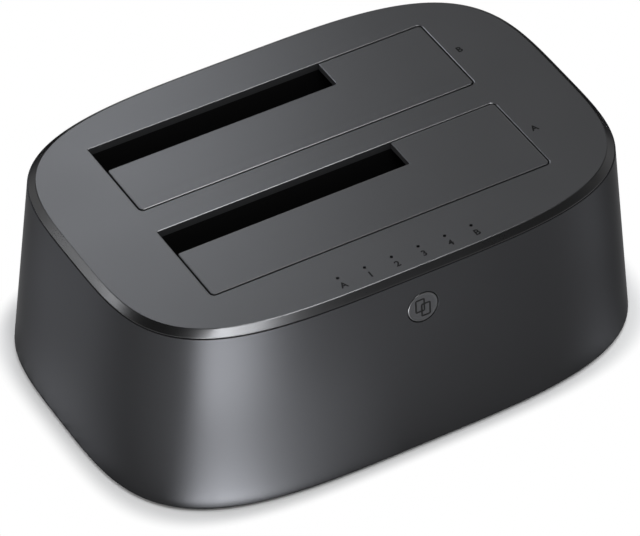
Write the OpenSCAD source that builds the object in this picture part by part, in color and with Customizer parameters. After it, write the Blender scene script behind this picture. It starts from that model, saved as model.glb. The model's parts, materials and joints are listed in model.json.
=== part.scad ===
// Dock for two bare drives: a flared case with a drive well and a sprung flap behind each opening.
// The front faces -Y, the ports face +Y, and the origin is the middle of the footprint on the table.

/* [Drive bays] */
// Length of a bay's opening, for a drive 101.6 wide
bay_l = 103.5; // [102.5:0.5:108]
// Width of a bay's opening, for a drive 26.1 thick beside the open flap
bay_w = 29.1; // [28.8:0.1:32]
// Width of the strip between the two bays
bay_between = 9; // [8.6:0.1:13]
// Depth from the top face to the floor that a drive stands on
bay_depth = 44; // [40:1:50]
// Radius of the corners of a bay's opening
bay_r = 1.5; // [0.8:0.1:2.5]
// Length of the part of a bay that stays open for a small drive
small_slot_l = 70.9; // [70.4:0.1:76]
// Width of that part
small_slot_w = 10.2; // [9.8:0.1:12]
// Wall of a drive well
well_t = 1.6; // [1.2:0.1:2]
// Floor of a drive well
well_floor_t = 2; // [1.5:0.1:2.5]

/* [Case] */
// From the front bay to the front edge of the top face
front_margin = 16.7; // [16:0.1:20]
// From the rear bay to the rear edge of the top face
rear_margin = 13.5; // [13:0.1:18]
// From the ends of the bays to the side edges of the top face
side_margin = 21.9; // [20.5:0.1:26]
// Lean of the walls, which flare downwards
draft = 5.4; // [4:0.1:7]
// Width of the bright edge round the top face, seen from above
chamfer_w = 2.1; // [1.5:0.1:3]
// Height of that edge
chamfer_h = 1.7; // [1.2:0.1:2]
// Squareness of the rounded outline
corner_power = 3.75; // [3.3:0.05:4.2]
// Wall of the body shell
wall_t = 2.2; // [1.8:0.1:2.6]
// Thickness of the top cover
cover_t = 2.4; // [2.2:0.1:3]
// Seam between the top cover and the body shell
seam = 0.25; // [0.15:0.05:0.4]
// Length of the screw posts under the top cover
post_h = 7; // [6:0.5:10]
// Diameter of the screw posts
post_d = 6.4; // [5.6:0.2:7]

/* [Base] */
// Height of a drive's seat above the table
seat_h = 14.5; // [13.5:0.5:20]
// Gap between the body shell and the table
floor_gap = 1.2; // [1:0.1:2]
// Gap between the base plate and the table
base_rise = 0.8; // [0.5:0.1:1]
// Thickness of the base plate
base_t = 2.4; // [2:0.1:3]
// Diameter of a foot
foot_d = 12; // [10:0.5:14]
// Depth that a foot is let into the base plate
foot_sink = 1; // [0.6:0.1:1.2]
// Diameter of the screws' threads
screw_d = 2.6; // [2.2:0.1:3]
// Diameter of the screws' heads
screw_head_d = 5; // [4.4:0.1:5.4]
// Height of the screws' heads
screw_head_h = 1.6; // [1.2:0.1:1.8]

/* [Flaps and hinges] */
// Thickness of a flap
flap_t = 2; // [1.6:0.1:2.2]
// Gap between a flap and its opening
flap_gap = 0.45; // [0.4:0.05:0.8]
// Distance of the hinge ahead of the opening
hinge_inset = 2; // [1.8:0.1:2.4]
// Diameter of a hinge pin
pin_d = 1.5; // [1.2:0.1:1.8]
// Diameter of a flap's knuckles
knuckle_d = 3.2; // [2.8:0.1:3.6]
// Length of a flap's knuckles
knuckle_l = 9; // [6:0.5:12]
// Distance of the knuckles from the middle
knuckle_x = 37; // [28:0.5:42]
// Thickness of the hinge lugs under the top cover
lug_t = 3; // [2:0.5:4]
// Wire of a flap's spring
spring_wire = 0.4; // [0.3:0.05:0.5]
// Turns of a flap's spring
spring_turns = 6; // [4:1:8]
// Distance between the spring's turns
spring_pitch = 0.9; // [0.85:0.05:1.2]

/* [Front button and lights] */
// Diameter of the copy button
button_d = 9; // [8:0.1:10]
// Depth of the button's middle below the top face
button_drop = 12; // [11:0.5:14]
// Travel of the button
button_travel = 0.6; // [0.4:0.1:0.9]
// Gap round the button
button_gap = 0.25; // [0.2:0.05:0.4]
// Diameter of the lights' holes
led_d = 1; // [0.8:0.1:1.6]
// Distance between the lights
led_pitch = 8.1; // [7:0.1:9]
// Distance of the lights from the front edge of the top face
led_inset = 6.5; // [6:0.1:8]

/* [Boards] */
// Thickness of the boards
board_t = 1.6; // [1.2:0.1:2]
// Height of the main board's underside above the table
board_z = 6.4; // [5.8:0.1:7]
// Length of the button board
front_board_l = 56; // [52:1:64]
// Length of a drive socket
socket_l = 42.8; // [42:0.2:46]
// Width of a drive socket
socket_w = 5.6; // [5:0.1:6.4]
// Distance of a drive socket's middle from the left end of its bay
socket_x = 30.6; // [29:0.1:32]
// Distance of a drive socket's middle from the rear edge of its bay
socket_y = 4.6; // [4.2:0.1:5]
// Width of the ribbon cable
ribbon_w = 10; // [6:0.5:12]

/* [Ports] */
// Depth of the recess that the ports lie in
port_recess = 0.8; // [0.4:0.1:1]
// Place of the data port along the rear wall
data_x = 22; // [18:0.5:26]
// Width of the data port
data_w = 12; // [11.6:0.1:13]
// Height of the data port
data_h = 10.8; // [10.4:0.1:12]
// Place of the power jack along the rear wall
jack_x = 2; // [0:0.5:5]
// Width of the power jack
jack_w = 9; // [8.6:0.1:10]
// Height of the power jack
jack_h = 11; // [10.4:0.1:12]
// Bore of the power jack
jack_bore_d = 6.3; // [6:0.1:7]
// Diameter of the power jack's centre pin
jack_pin_d = 2; // [1.6:0.1:2.5]
// Place of the power switch along the rear wall
switch_x = -20; // [-26:0.5:-16]
// Width of the power switch's rim
switch_w = 15; // [14:0.5:17]
// Height of the power switch's rim
switch_h = 10.4; // [10:0.1:11.4]
// Tilt of the power switch's rocker to either side
rocker_tilt = 9; // [6:0.5:11]

/* [Hidden] */
$fn = 48;

// Colours of the mouldings, the metals and the boards
case_grey = [0.2, 0.2, 0.21];
inner_black = [0.06, 0.06, 0.065];
steel = [0.7, 0.7, 0.72];
board_green = [0.05, 0.22, 0.12];
socket_black = [0.04, 0.04, 0.045];
contact_gold = [0.8, 0.62, 0.28];

// Clearances: a turning fit, a push fit, pieces that pass each other, and an overlap inside one piece
turn_fit = 0.05;
slip_fit = 0.2;
pass_gap = 0.4;
bite = 0.5;
// Depth by which a cut runs past the face that it opens
past = 1;
// Room left in a hole past the tip of its screw
tip_room = 1.5;

// Overall sizes
top_l = bay_l + 2 * side_margin;
bay_pitch = bay_w + bay_between;
top_d = front_margin + bay_w + bay_pitch + rear_margin;
case_h = seat_h + bay_depth;
seam_z = case_h - chamfer_h;
cover_z = case_h - cover_t;
base_top = base_rise + base_t;
board_top = board_z + board_t;

// The outline: a rounded rectangle by one power law, a little rounder further down
ring_points = 120;
corner_fade = 0.02;

function wall_offset(z) = chamfer_w + tan(draft) * (seam_z - z);

function outline_radius(angle, offset) =
  let (n = corner_power - corner_fade * offset)
  let (u = abs(cos(angle)) / (top_l / 2 + offset))
  let (v = abs(sin(angle)) / (top_d / 2 + offset))
  pow(pow(u, n) + pow(v, n), -1 / n);

function ring(offset, z) = [
  for (i = [0 : ring_points - 1])
    let (angle = 360 * i / ring_points)
    let (r = outline_radius(angle, offset))
    [r * cos(angle), r * sin(angle), z]
];

// How far the outer skin reaches forward or back at a height, on the middle line
function wall_y(z) = top_d / 2 + wall_offset(z);

// A closed skin through rings of points, from the lowest to the highest
module loft(rings) {
  n = len(rings[0]);
  top_start = n * (len(rings) - 1);
  sides = [
    for (k = [0 : len(rings) - 2], i = [0 : n - 1])
      let (a = k * n + i)
      let (b = k * n + (i + 1) % n)
      each [[a, a + n, b + n], [a, b + n, b]]
  ];
  bottom = [for (i = [0 : n - 1]) i];
  top = [for (i = [n - 1 : -1 : 0]) top_start + i];
  polyhedron(points = [for (r = rings) each r], faces = concat([bottom], sides, [top]));
}

// A box from two corners
module block(low, high) {
  translate(low)
    cube(high - low);
}

// A cylinder along X, centred on its point
module rod_x(d, length) {
  rotate([0, 90, 0])
    cylinder(d = d, h = length, center = true);
}

// A flat rectangle with rounded corners, from two corners
module rounded_rectangle(low, high, r) {
  translate(low + [r, 0])
    square(high - low - [2 * r, 0]);
  translate(low + [0, r])
    square(high - low - [0, 2 * r]);
  for (x = [low[0] + r, high[0] - r], y = [low[1] + r, high[1] - r])
    translate([x, y])
      circle(r);
}

// A pan-head screw: its head lies below z = 0 and its thread rises from there
module screw(length) {
  recess_d = screw_head_d * 0.36;
  recess_h = screw_head_h * 0.55;
  difference() {
    translate([0, 0, -screw_head_h])
      cylinder(d = screw_head_d, h = screw_head_h);
    translate([0, 0, -screw_head_h - past])
      cylinder(d = recess_d, h = recess_h + past, $fn = 6);
  }
  cylinder(d = screw_d, h = length);
}

pilot_d = screw_d + 2 * turn_fit;
clear_d = screw_d + 2 * slip_fit;

// Bays: -1 is the front bay and 1 is the rear bay
bays = [-1, 1];
bay_mid = (front_margin - rear_margin) / 2;

function bay_front(bay) = bay_mid + bay * bay_pitch / 2 - bay_w / 2;
function bay_rear(bay) = bay_front(bay) + bay_w;

well_gap = 0.4;
well_x = bay_l / 2 + well_gap + well_t;
well_inner_x = bay_l / 2 + well_gap;
small_slot_x = small_slot_l - bay_l / 2;

// Hinges, each under the cover just ahead of its bay
hinge_drop = cover_t + slip_fit + knuckle_d / 2;
hinge_z = case_h - hinge_drop;
lug_skin = 0.1;
lug_r = hinge_inset - lug_skin;
arm_t = 1.8;
arm_w = 3;
tab_reach = 1;
tab_t = 1.2;
tab_near = 5;
tab_far = 8;
stop_gap = 0.15;
spring_end_gap = 0.1;
middle_lug_x = spring_turns * spring_pitch / 2 + spring_wire + spring_end_gap + lug_t / 2;
end_lug_x = knuckle_x + knuckle_l / 2 + pass_gap + lug_t / 2;
inner_lug_x = knuckle_x - knuckle_l / 2 - pass_gap - lug_t / 2;
pin_over = 0.5;
pin_l = 2 * end_lug_x + lug_t + 2 * pin_over;

function hinge_y(bay) = bay_front(bay) - hinge_inset;

// Screw places, each given for the right side and mirrored to the left
post_gap = 3.2;
post_inset = 17;
post_x = well_x + post_d / 2 + post_gap;
post_y = top_d / 2 - post_inset;
post_foot = cover_z - post_h;
shelf_t = 3;
ear_gap = 0.6;
ear_x = well_x + post_d / 2 + ear_gap;
ear_t = 2.4;
base_boss_d = 7.2;
base_boss_h = 14;
base_boss_x = top_l / 2 + wall_offset(base_top) - wall_t - base_boss_d;
base_boss_y = 20;
foot_side = 11;
foot_end = 12;
foot_x = top_l / 2 + wall_offset(base_rise) - wall_t - foot_d / 2 - foot_side;
foot_y = top_d / 2 + wall_offset(base_rise) - wall_t - foot_d / 2 - foot_end;

// Main board
board_lead = 8;
board_clear = 4;
board_x = bay_l / 2;
board_front = bay_front(-1) - board_lead;
board_rear = wall_y(board_top) - wall_t - board_clear;
board_hole_inset = 4;
board_hole_x = board_x - board_hole_inset;
board_boss_d = 6;
board_rows = [board_front + board_hole_inset, board_rear - board_hole_inset];
// Floor left in the base plate under the main board's screws
base_skin = 1;

// Front wall: the button's own frame has its Z axis out of the wall and its Y axis up the wall
button_z = case_h - button_drop;
button_skin = wall_t * cos(draft);
flange_w = 1.3;
flange_t = 1.2;
led_y = -top_d / 2 + led_inset;
led_count = 6;
led_size = [3, 1.6, 1.8];
lens_rise = 0.25;
led_up = 5;
led_depth = (led_y + wall_y(button_z) - led_up * sin(draft)) / cos(draft);
front_board_face = -led_depth - led_size[2] / 2;
front_board_low = -9;
front_board_high = 6.6;
front_post_inset = 3.2;
front_post_x = front_board_l / 2 - front_post_inset;
front_post_y = -2;
front_post_d = 5.2;
switch_body = [6, 6, 3.5];
plunger_d = 2;
plunger_rise = 1;
plunger_well = 1.6;
plunger_front = front_board_face + switch_body[2] + plunger_rise;
stem_d = 3.2;

module on_front_wall() {
  translate([0, -wall_y(button_z), button_z])
    rotate([90 - draft, 0, 0])
      children();
}

// Rear wall: the ports' frame has its Z axis out of the wall and its Y axis up the wall
port_up = 6.3;
port_sink = 0.3;
port_z = board_top + port_up;
port_face_y = wall_y(board_top + max(data_h, jack_h)) - port_recess / cos(draft) - port_sink;
port_back_y = bay_rear(1) + well_gap + well_t + pass_gap;
port_low = -7.2;
port_high = 6.8;
port_side = 3;
port_right = data_x + data_w / 2 + port_side;
port_left = switch_x - switch_w / 2 - port_side;
rocker_drop = 1.2;
rim_lap = 1;

module on_rear_wall(x) {
  translate([x, wall_y(port_z), port_z])
    rotate([90 - draft, 0, 180])
      translate([0, 0, -port_recess])
        children();
}

// Case

module case_hollow() {
  low = floor_gap - past;
  high = case_h + past;
  loft([ring(wall_offset(low) - wall_t, low), ring(wall_offset(high) - wall_t, high)]);
}

module shell_bosses() {
  wall_reach = top_l;
  for (x = [-1, 1], y = [-1, 1]) {
    translate([0, y * post_y, 0])
      mirror([x < 0 ? 1 : 0, 0, 0])
        block(
          [post_x - post_d / 2, -post_d / 2, post_foot - shelf_t],
          [wall_reach, post_d / 2, post_foot]
        );
    translate([0, y * base_boss_y, base_top])
      mirror([x < 0 ? 1 : 0, 0, 0]) {
        translate([base_boss_x, 0, 0])
          cylinder(d = base_boss_d, h = base_boss_h);
        block([base_boss_x, -shelf_t / 2, 0], [wall_reach, shelf_t / 2, base_boss_h]);
      }
  }
  on_front_wall()
    for (x = [-1, 1])
      translate([x * front_post_x, front_post_y, front_board_face])
        cylinder(d = front_post_d, h = -front_board_face);
}

module shell_cuts() {
  for (x = [-1, 1], y = [-1, 1]) {
    translate([x * post_x, y * post_y, post_foot - shelf_t - past])
      cylinder(d = clear_d, h = shelf_t + 2 * past);
    translate([x * base_boss_x, y * base_boss_y, base_top - past])
      cylinder(d = pilot_d, h = base_boss_h - past);
  }
  on_front_wall() {
    translate([0, 0, -wall_t - past])
      cylinder(d = button_d + 2 * button_gap, h = wall_t + 2 * past);
    for (x = [-1, 1])
      translate([x * front_post_x, front_post_y, front_board_face - past])
        cylinder(d = pilot_d, h = -front_board_face - wall_t);
  }
  on_rear_wall(0)
    block([-port_right, port_low, 0], [-port_left, port_high, port_recess + past]);
  switch_half = [switch_w / 2 - rim_lap + slip_fit, switch_h / 2 - rim_lap + slip_fit];
  on_rear_wall(switch_x)
    block(
      [-switch_half[0], -switch_half[1], -wall_t - past],
      [switch_half[0], switch_half[1], past]
    );
  port_hole(data_x, data_w, data_h);
  port_hole(jack_x, jack_w, jack_h);
}

module port_hole(x, w, h) {
  half = w / 2 + slip_fit;
  block(
    [x - half, port_back_y, board_top - slip_fit],
    [x + half, wall_y(0), board_top + h + slip_fit]
  );
}

module body_shell() {
  edge = 0.6;
  low = floor_gap;
  high = seam_z - seam;
  color(case_grey)
    difference() {
      union() {
        difference() {
          loft([
            ring(wall_offset(low) - edge, low),
            ring(wall_offset(low + edge), low + edge),
            ring(wall_offset(high), high),
          ]);
          case_hollow();
        }
        intersection() {
          shell_bosses();
          loft([
            ring(wall_offset(low) - wall_t / 2, low),
            ring(wall_offset(high) - wall_t / 2, high),
          ]);
        }
      }
      shell_cuts();
    }
}

module bay_opening(bay) {
  low = [-bay_l / 2, bay_front(bay)];
  high = [bay_l / 2, bay_rear(bay)];
  rounded_rectangle(low, high, bay_r);
  translate([low[0], high[1] - 2 * bay_r])
    square(2 * bay_r);
}

module cover_hinge(bay) {
  for (x = [-1, 1], place = [end_lug_x, inner_lug_x, middle_lug_x])
    translate([x * place, hinge_y(bay), hinge_z]) {
      rod_x(2 * lug_r, lug_t);
      block([-lug_t / 2, -lug_r, 0], [lug_t / 2, lug_r, cover_z - hinge_z + bite]);
    }
}

module top_cover() {
  lip = chamfer_w - wall_t - slip_fit;
  lip_t = 1.6;
  lip_h = 2.6;
  color(case_grey)
    difference() {
      union() {
        difference() {
          union() {
            loft([ring(chamfer_w, seam_z), ring(0, case_h)]);
            loft([ring(lip, cover_z - lip_h), ring(lip, seam_z + bite)]);
          }
          loft([ring(lip - lip_t, cover_z - lip_h - past), ring(lip - lip_t, cover_z)]);
        }
        for (x = [-1, 1]) {
          for (y = [-1, 1])
            translate([x * post_x, y * post_y, post_foot])
              cylinder(d = post_d, h = post_h + bite);
          for (bay = bays)
            translate([x * ear_x, bay_front(bay) + bay_w / 2, post_foot])
              cylinder(d = post_d, h = post_h + bite);
        }
        for (bay = bays)
          cover_hinge(bay);
      }
      for (bay = bays) {
        translate([0, 0, cover_z - past])
          linear_extrude(cover_t + 2 * past)
            bay_opening(bay);
        translate([0, hinge_y(bay), hinge_z])
          rod_x(pin_d + 2 * turn_fit, pin_l + 2 * past);
      }
      for (x = [-1, 1]) {
        for (y = [-1, 1])
          translate([x * post_x, y * post_y, post_foot - past])
            cylinder(d = pilot_d, h = post_h + past - bite);
        for (bay = bays)
          translate([x * ear_x, bay_front(bay) + bay_w / 2, post_foot - past])
            cylinder(d = pilot_d, h = post_h + past - bite);
      }
      for (i = [0 : led_count - 1])
        translate([led_place(i), led_y, cover_z - past])
          cylinder(d = led_d, h = cover_t + 2 * past);
    }
}

module base_plate() {
  function edge(z) = wall_offset(z) - wall_t - slip_fit;
  label_l = 60;
  label_w = 36;
  label_sink = 0.3;
  color(inner_black)
    difference() {
      union() {
        loft([ring(edge(base_rise), base_rise), ring(edge(base_top), base_top)]);
        for (x = [-1, 1], y = board_rows)
          translate([x * board_hole_x, y, base_top - bite])
            cylinder(d = board_boss_d, h = board_z - base_top + bite);
      }
      for (x = [-1, 1], y = [-1, 1]) {
        translate([x * foot_x, y * foot_y, base_rise - past])
          cylinder(d = foot_d + slip_fit, h = foot_sink + past);
        translate([x * base_boss_x, y * base_boss_y, base_rise - past]) {
          cylinder(d = screw_head_d + 2 * slip_fit, h = screw_head_h + past);
          cylinder(d = clear_d, h = base_t + 2 * past);
        }
      }
      for (x = [-1, 1], y = board_rows)
        translate([x * board_hole_x, y, base_rise + base_skin])
          cylinder(d = pilot_d, h = board_z);
      block(
        [-label_l / 2, -label_w / 2, base_rise - past],
        [label_l / 2, label_w / 2, base_rise + label_sink]
      );
    }
}

module foot(x, y) {
  h = base_rise + foot_sink;
  edge = 0.5;
  color(inner_black)
    translate([x * foot_x, y * foot_y, 0])
      rotate_extrude()
        polygon([
          [0, 0], [foot_d / 2 - edge, 0], [foot_d / 2, edge], [foot_d / 2, h], [0, h],
        ]);
}

module base_screws() {
  color(steel)
    for (x = [-1, 1], y = [-1, 1])
      translate([x * base_boss_x, y * base_boss_y, base_rise + screw_head_h])
        screw(base_t - screw_head_h + base_boss_h - 2 * past - tip_room);
}

module cover_screws() {
  color(steel)
    for (x = [-1, 1], y = [-1, 1])
      translate([x * post_x, y * post_y, post_foot - shelf_t])
        screw(shelf_t + post_h - bite - tip_room);
}

module well_screws() {
  color(steel)
    for (x = [-1, 1], bay = bays)
      translate([x * ear_x, bay_front(bay) + bay_w / 2, post_foot - ear_t])
        screw(ear_t + post_h - bite - tip_room);
}

// Drive wells

module drive_well(bay) {
  front = bay_front(bay) - well_gap;
  rear = bay_rear(bay) + well_gap;
  bottom = seat_h - well_floor_t;
  arm_swing = flap_gap + hinge_inset + arm_w + pass_gap;
  tab_swing = tab_far + pass_gap;
  socket_mid = [socket_x - bay_l / 2, bay_rear(bay) - socket_y];
  socket_half = [socket_l / 2 + slip_fit, socket_w / 2 + slip_fit];
  color(inner_black)
    difference() {
      union() {
        block([-well_x, front - well_t, bottom], [well_x, rear + well_t, cover_z]);
        for (x = [-1, 1])
          mirror([x < 0 ? 1 : 0, 0, 0])
            translate([0, bay_front(bay) + bay_w / 2, post_foot - ear_t]) {
              translate([ear_x, 0, 0])
                cylinder(d = post_d, h = ear_t);
              block([well_x - bite, -post_d / 2, 0], [ear_x, post_d / 2, ear_t]);
            }
      }
      block([-well_inner_x, front, seat_h], [well_inner_x, rear, cover_z + past]);
      block(
        [-well_x - past, front - well_t - past, hinge_z - arm_swing],
        [well_x + past, front + past, cover_z + past]
      );
      block(
        [-well_x - past, front - well_t - past, hinge_z - tab_swing],
        [well_x + past, hinge_y(bay) + tab_swing, cover_z + past]
      );
      translate([socket_mid[0], socket_mid[1], bottom - past])
        block(
          [-socket_half[0], -socket_half[1], 0],
          [socket_half[0], socket_half[1], well_floor_t + 2 * past]
        );
      for (x = [-1, 1])
        translate([x * ear_x, bay_front(bay) + bay_w / 2, post_foot - ear_t - past])
          cylinder(d = clear_d, h = ear_t + 2 * past);
    }
}

// Flaps

module flap_plate(bay) {
  left = -bay_l / 2 + flap_gap;
  right = bay_l / 2 - flap_gap;
  front = bay_front(bay) + flap_gap;
  rear = bay_rear(bay) - flap_gap;
  slot_front = bay_rear(bay) - small_slot_w;
  r = bay_r - flap_gap;
  rounded_rectangle([left, front], [right, slot_front], r);
  rounded_rectangle([small_slot_x, front], [right, rear], r);
  translate([right - 4 * r, slot_front - 2 * r])
    square([4 * r, 4 * r]);
}

module flap(bay) {
  edge_y = bay_front(bay) + flap_gap;
  under = case_h - flap_t;
  tab_top = cover_z - stop_gap;
  tab_x = bay_l / 2 + tab_reach;
  tab_root = bay_l / 2 - flap_gap - arm_w;
  color(case_grey)
    difference() {
      union() {
        translate([0, 0, under])
          linear_extrude(flap_t)
            flap_plate(bay);
        for (x = [-knuckle_x, knuckle_x])
          translate([x, 0, 0]) {
            translate([0, hinge_y(bay), hinge_z])
              rod_x(knuckle_d, knuckle_l);
            block(
              [-knuckle_l / 2, hinge_y(bay), hinge_z - arm_t / 2],
              [knuckle_l / 2, edge_y + arm_w, hinge_z + arm_t / 2]
            );
            block(
              [-knuckle_l / 2, edge_y + slip_fit, hinge_z - arm_t / 2],
              [knuckle_l / 2, edge_y + arm_w, under + bite]
            );
          }
        for (x = [-1, 1])
          mirror([x < 0 ? 1 : 0, 0, 0])
            translate([0, hinge_y(bay), 0]) {
              block([tab_root, tab_near, tab_top - tab_t], [tab_x, tab_far, tab_top]);
              block([tab_root, tab_near, tab_top - tab_t], [tab_root + arm_w, tab_far, under + bite]);
            }
      }
      translate([0, hinge_y(bay), hinge_z])
        rod_x(pin_d + 2 * turn_fit, bay_l);
    }
}

module hinge_pin(bay) {
  color(steel)
    translate([0, hinge_y(bay), hinge_z])
      rod_x(pin_d, pin_l);
}

// Flap springs: each winds round its hinge pin, with one leg under the cover and one under the flap

spring_r = cover_z - hinge_z - spring_wire / 2 - stop_gap;
leg_gap = 1;
cover_leg = bay_between - hinge_inset - well_gap - well_t - leg_gap;
flap_leg = 6.5;
curl_steps = 8;
wire_sides = 6;
spring_steps = spring_turns * curl_steps;

// Each station is the wire's middle and the direction away from the hinge pin
function spring_turn(i) =
  let (angle = 90 - 360 * i / curl_steps)
  let (out = [0, cos(angle), sin(angle)])
  [[spring_pitch * (i / curl_steps - spring_turns / 2), 0, 0] + spring_r * out, out];

function spring_leg_end(i, reach) =
  let (turn = spring_turn(i))
  [turn[0] + [0, reach, 0], turn[1]];

spring_stations = concat(
  [spring_leg_end(0, -cover_leg)],
  [for (i = [0 : spring_steps]) spring_turn(i)],
  [spring_leg_end(spring_steps, flap_leg)]
);

// The least gap between the wire and itself, a turn or more along
spring_gap = min([
  for (i = [0 : spring_steps - curl_steps], j = [i + curl_steps : spring_steps])
    norm(spring_turn(i)[0] - spring_turn(j)[0])
]) - spring_wire;

module flap_spring(bay) {
  echo(least_gap_between_spring_turns = spring_gap);
  color(steel)
    translate([0, hinge_y(bay), hinge_z])
      loft([
        for (s = spring_stations)
          [
            for (k = [0 : wire_sides - 1])
              let (angle = 360 * k / wire_sides)
              s[0] + spring_wire / 2 * (cos(angle) * s[1] + sin(angle) * [1, 0, 0])
          ]
      ]);
}

// Main board and what stands on it

module main_board() {
  color(board_green)
    difference() {
      block([-board_x, board_front, board_z], [board_x, board_rear, board_top]);
      for (x = [-1, 1], y = board_rows)
        translate([x * board_hole_x, y, board_z - past])
          cylinder(d = clear_d, h = board_t + 2 * past);
    }
}

module main_board_screws() {
  color(steel)
    for (x = [-1, 1], y = board_rows)
      translate([x * board_hole_x, y, board_top])
        mirror([0, 0, 1])
          screw(board_top - base_rise - base_skin - bite);
}

socket_rise = 1.2;
socket_top = seat_h + socket_rise;
socket_slot_depth = 5;
signal_slot_l = 10.4;
power_slot_l = 20.6;
slot_between = 2.4;
slot_w = 2.2;
contact_t = 0.5;
contact_w = 0.7;
contact_sink = 0.8;
contact_pitch = 1.27;
signal_contacts = 7;
power_contacts = 15;
slot_start = -(signal_slot_l + power_slot_l + slot_between) / 2;
power_start = slot_start + signal_slot_l + slot_between;
// Each row of contacts: where its slot starts, how long that is and how many contacts it has
contact_rows = [
  [slot_start, signal_slot_l, signal_contacts],
  [power_start, power_slot_l, power_contacts],
];

module at_socket(bay) {
  translate([socket_x - bay_l / 2, bay_rear(bay) - socket_y, 0])
    children();
}

module drive_socket(bay) {
  slot_low = socket_top - socket_slot_depth;
  key = 1.1;
  color(socket_black)
    at_socket(bay)
      difference() {
        block(
          [-socket_l / 2, -socket_w / 2, board_top],
          [socket_l / 2, socket_w / 2, socket_top]
        );
        for (row = contact_rows)
          translate([row[0], -slot_w / 2, slot_low]) {
            cube([row[1], slot_w, socket_slot_depth + past]);
            translate([0, -key, 0])
              cube([key, slot_w, socket_slot_depth + past]);
          }
      }
}

module socket_contacts(bay) {
  contact_h = socket_slot_depth - contact_sink;
  color(contact_gold)
    at_socket(bay)
      for (row = contact_rows)
        for (i = [0 : row[2] - 1])
          translate([
            row[0] + row[1] / 2 + (i - (row[2] - 1) / 2) * contact_pitch - contact_w / 2,
            slot_w / 2 - contact_t,
            socket_top - socket_slot_depth,
          ])
            cube([contact_w, contact_t, contact_h]);
}

// A flat chip with its corner mark, standing on the main board
module chip(place, size) {
  mark_d = 0.9;
  mark_inset = 1.2;
  mark_sink = 0.15;
  translate([place[0], place[1], board_top])
    difference() {
      translate([-size[0] / 2, -size[1] / 2, 0])
        cube(size);
      translate([mark_inset - size[0] / 2, size[1] / 2 - mark_inset, size[2] - mark_sink])
        cylinder(d = mark_d, h = past);
    }
}

// The middle of the strip of board between the wells
strip_y = bay_mid;
bridge_x = 26;
bridge_size = [9, 9, 1.2];
memory_x = 10;
memory_size = [5, 6, 1.2];
regulator_x = 32;
regulator_inset = 6;
regulator_size = [5, 5, 1];
inductor_x = 40;
inductor_size = [6.6, 6.6, 3];
crystal_size = [5, 3.2, 1.2];
crystal_side = 14;
crystal_inset = 8;

module bridge_chip() {
  color(socket_black)
    chip([bridge_x, strip_y], bridge_size);
}

module support_chips() {
  color(socket_black) {
    chip([memory_x, strip_y], memory_size);
    for (x = [-regulator_x, regulator_x])
      chip([x, board_front + regulator_inset], regulator_size);
  }
}

module power_inductors() {
  size = inductor_size;
  hollow_d = 4;
  hollow_sink = 0.4;
  color([0.22, 0.22, 0.23])
    for (x = [-inductor_x, inductor_x])
      translate([x, strip_y, board_top])
        difference() {
          translate([-size[0] / 2, -size[1] / 2, 0])
            cube(size);
          translate([0, 0, size[2] - hollow_sink])
            cylinder(d = hollow_d, h = past);
        }
}

module capacitors() {
  d = 6;
  h = 7;
  vent = 0.3;
  vent_l = 4.2;
  beside = 1.2;
  place = jack_w / 2 + beside + d / 2;
  color([0.72, 0.72, 0.74])
    for (x = [jack_x - place, jack_x + place])
      translate([x, port_back_y + d / 2 + pass_gap, board_top])
        difference() {
          cylinder(d = d, h = h);
          for (turn = [0, 90])
            rotate([0, 0, turn])
              block([-vent_l / 2, -vent / 2, h - vent], [vent_l / 2, vent / 2, h + past]);
        }
}

module clock_crystal() {
  size = crystal_size;
  r = 0.8;
  color(steel)
    translate([board_x - crystal_side, board_front + crystal_inset, board_top])
      linear_extrude(size[2])
        rounded_rectangle([0, 0], [size[0], size[1]], r);
}

// Ports

port_wall = 0.4;

module at_port(x) {
  translate([x, port_face_y, board_top])
    children();
}

module data_port_shell() {
  depth = port_face_y - port_back_y;
  color(steel)
    at_port(data_x)
      difference() {
        block([-data_w / 2, -depth, 0], [data_w / 2, 0, data_h]);
        block(
          [-data_w / 2 + port_wall, -depth + port_wall, port_wall],
          [data_w / 2 - port_wall, past, data_h - port_wall]
        );
      }
}

socket_cavity = [8.5, 9, 7.8];
upper_cavity = [5.8, 9, 1];
tongue = [5.6, 8.4, 3.2];
core_sink = 0.6;
tongue_low = 2.4;
cavity_low = 0.6;

module data_port_core() {
  depth = port_face_y - port_back_y;
  inner_w = data_w - 2 * port_wall;
  inner_h = data_h - 2 * port_wall;
  corner = 1.6;
  color(socket_black)
    at_port(data_x)
      translate([0, 0, port_wall]) {
        difference() {
          block([-inner_w / 2, -depth + port_wall, 0], [inner_w / 2, -core_sink, inner_h]);
          translate([0, past, cavity_low])
            rotate([90, 0, 0])
              linear_extrude(socket_cavity[1] + past)
                polygon([
                  [-socket_cavity[0] / 2, 0], [socket_cavity[0] / 2, 0],
                  [socket_cavity[0] / 2, socket_cavity[2] - corner],
                  [upper_cavity[0] / 2, socket_cavity[2]],
                  [upper_cavity[0] / 2, socket_cavity[2] + upper_cavity[2]],
                  [-upper_cavity[0] / 2, socket_cavity[2] + upper_cavity[2]],
                  [-upper_cavity[0] / 2, socket_cavity[2]],
                  [-socket_cavity[0] / 2, socket_cavity[2] - corner],
                ]);
        }
        block(
          [-tongue[0] / 2, -socket_cavity[1] - bite, tongue_low],
          [tongue[0] / 2, tongue[1] - socket_cavity[1], tongue_low + tongue[2]]
        );
      }
}

module data_port_contacts() {
  strip = [0.9, 6.5, 0.25];
  strip_x = 1.4;
  color(contact_gold)
    at_port(data_x)
      for (x = [-1, 1], z = [tongue_low - strip[2], tongue_low + tongue[2]])
        translate([x * strip_x - strip[0] / 2, -socket_cavity[1], port_wall + z])
          cube(strip);
}

jack_bore_h = 10;

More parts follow.
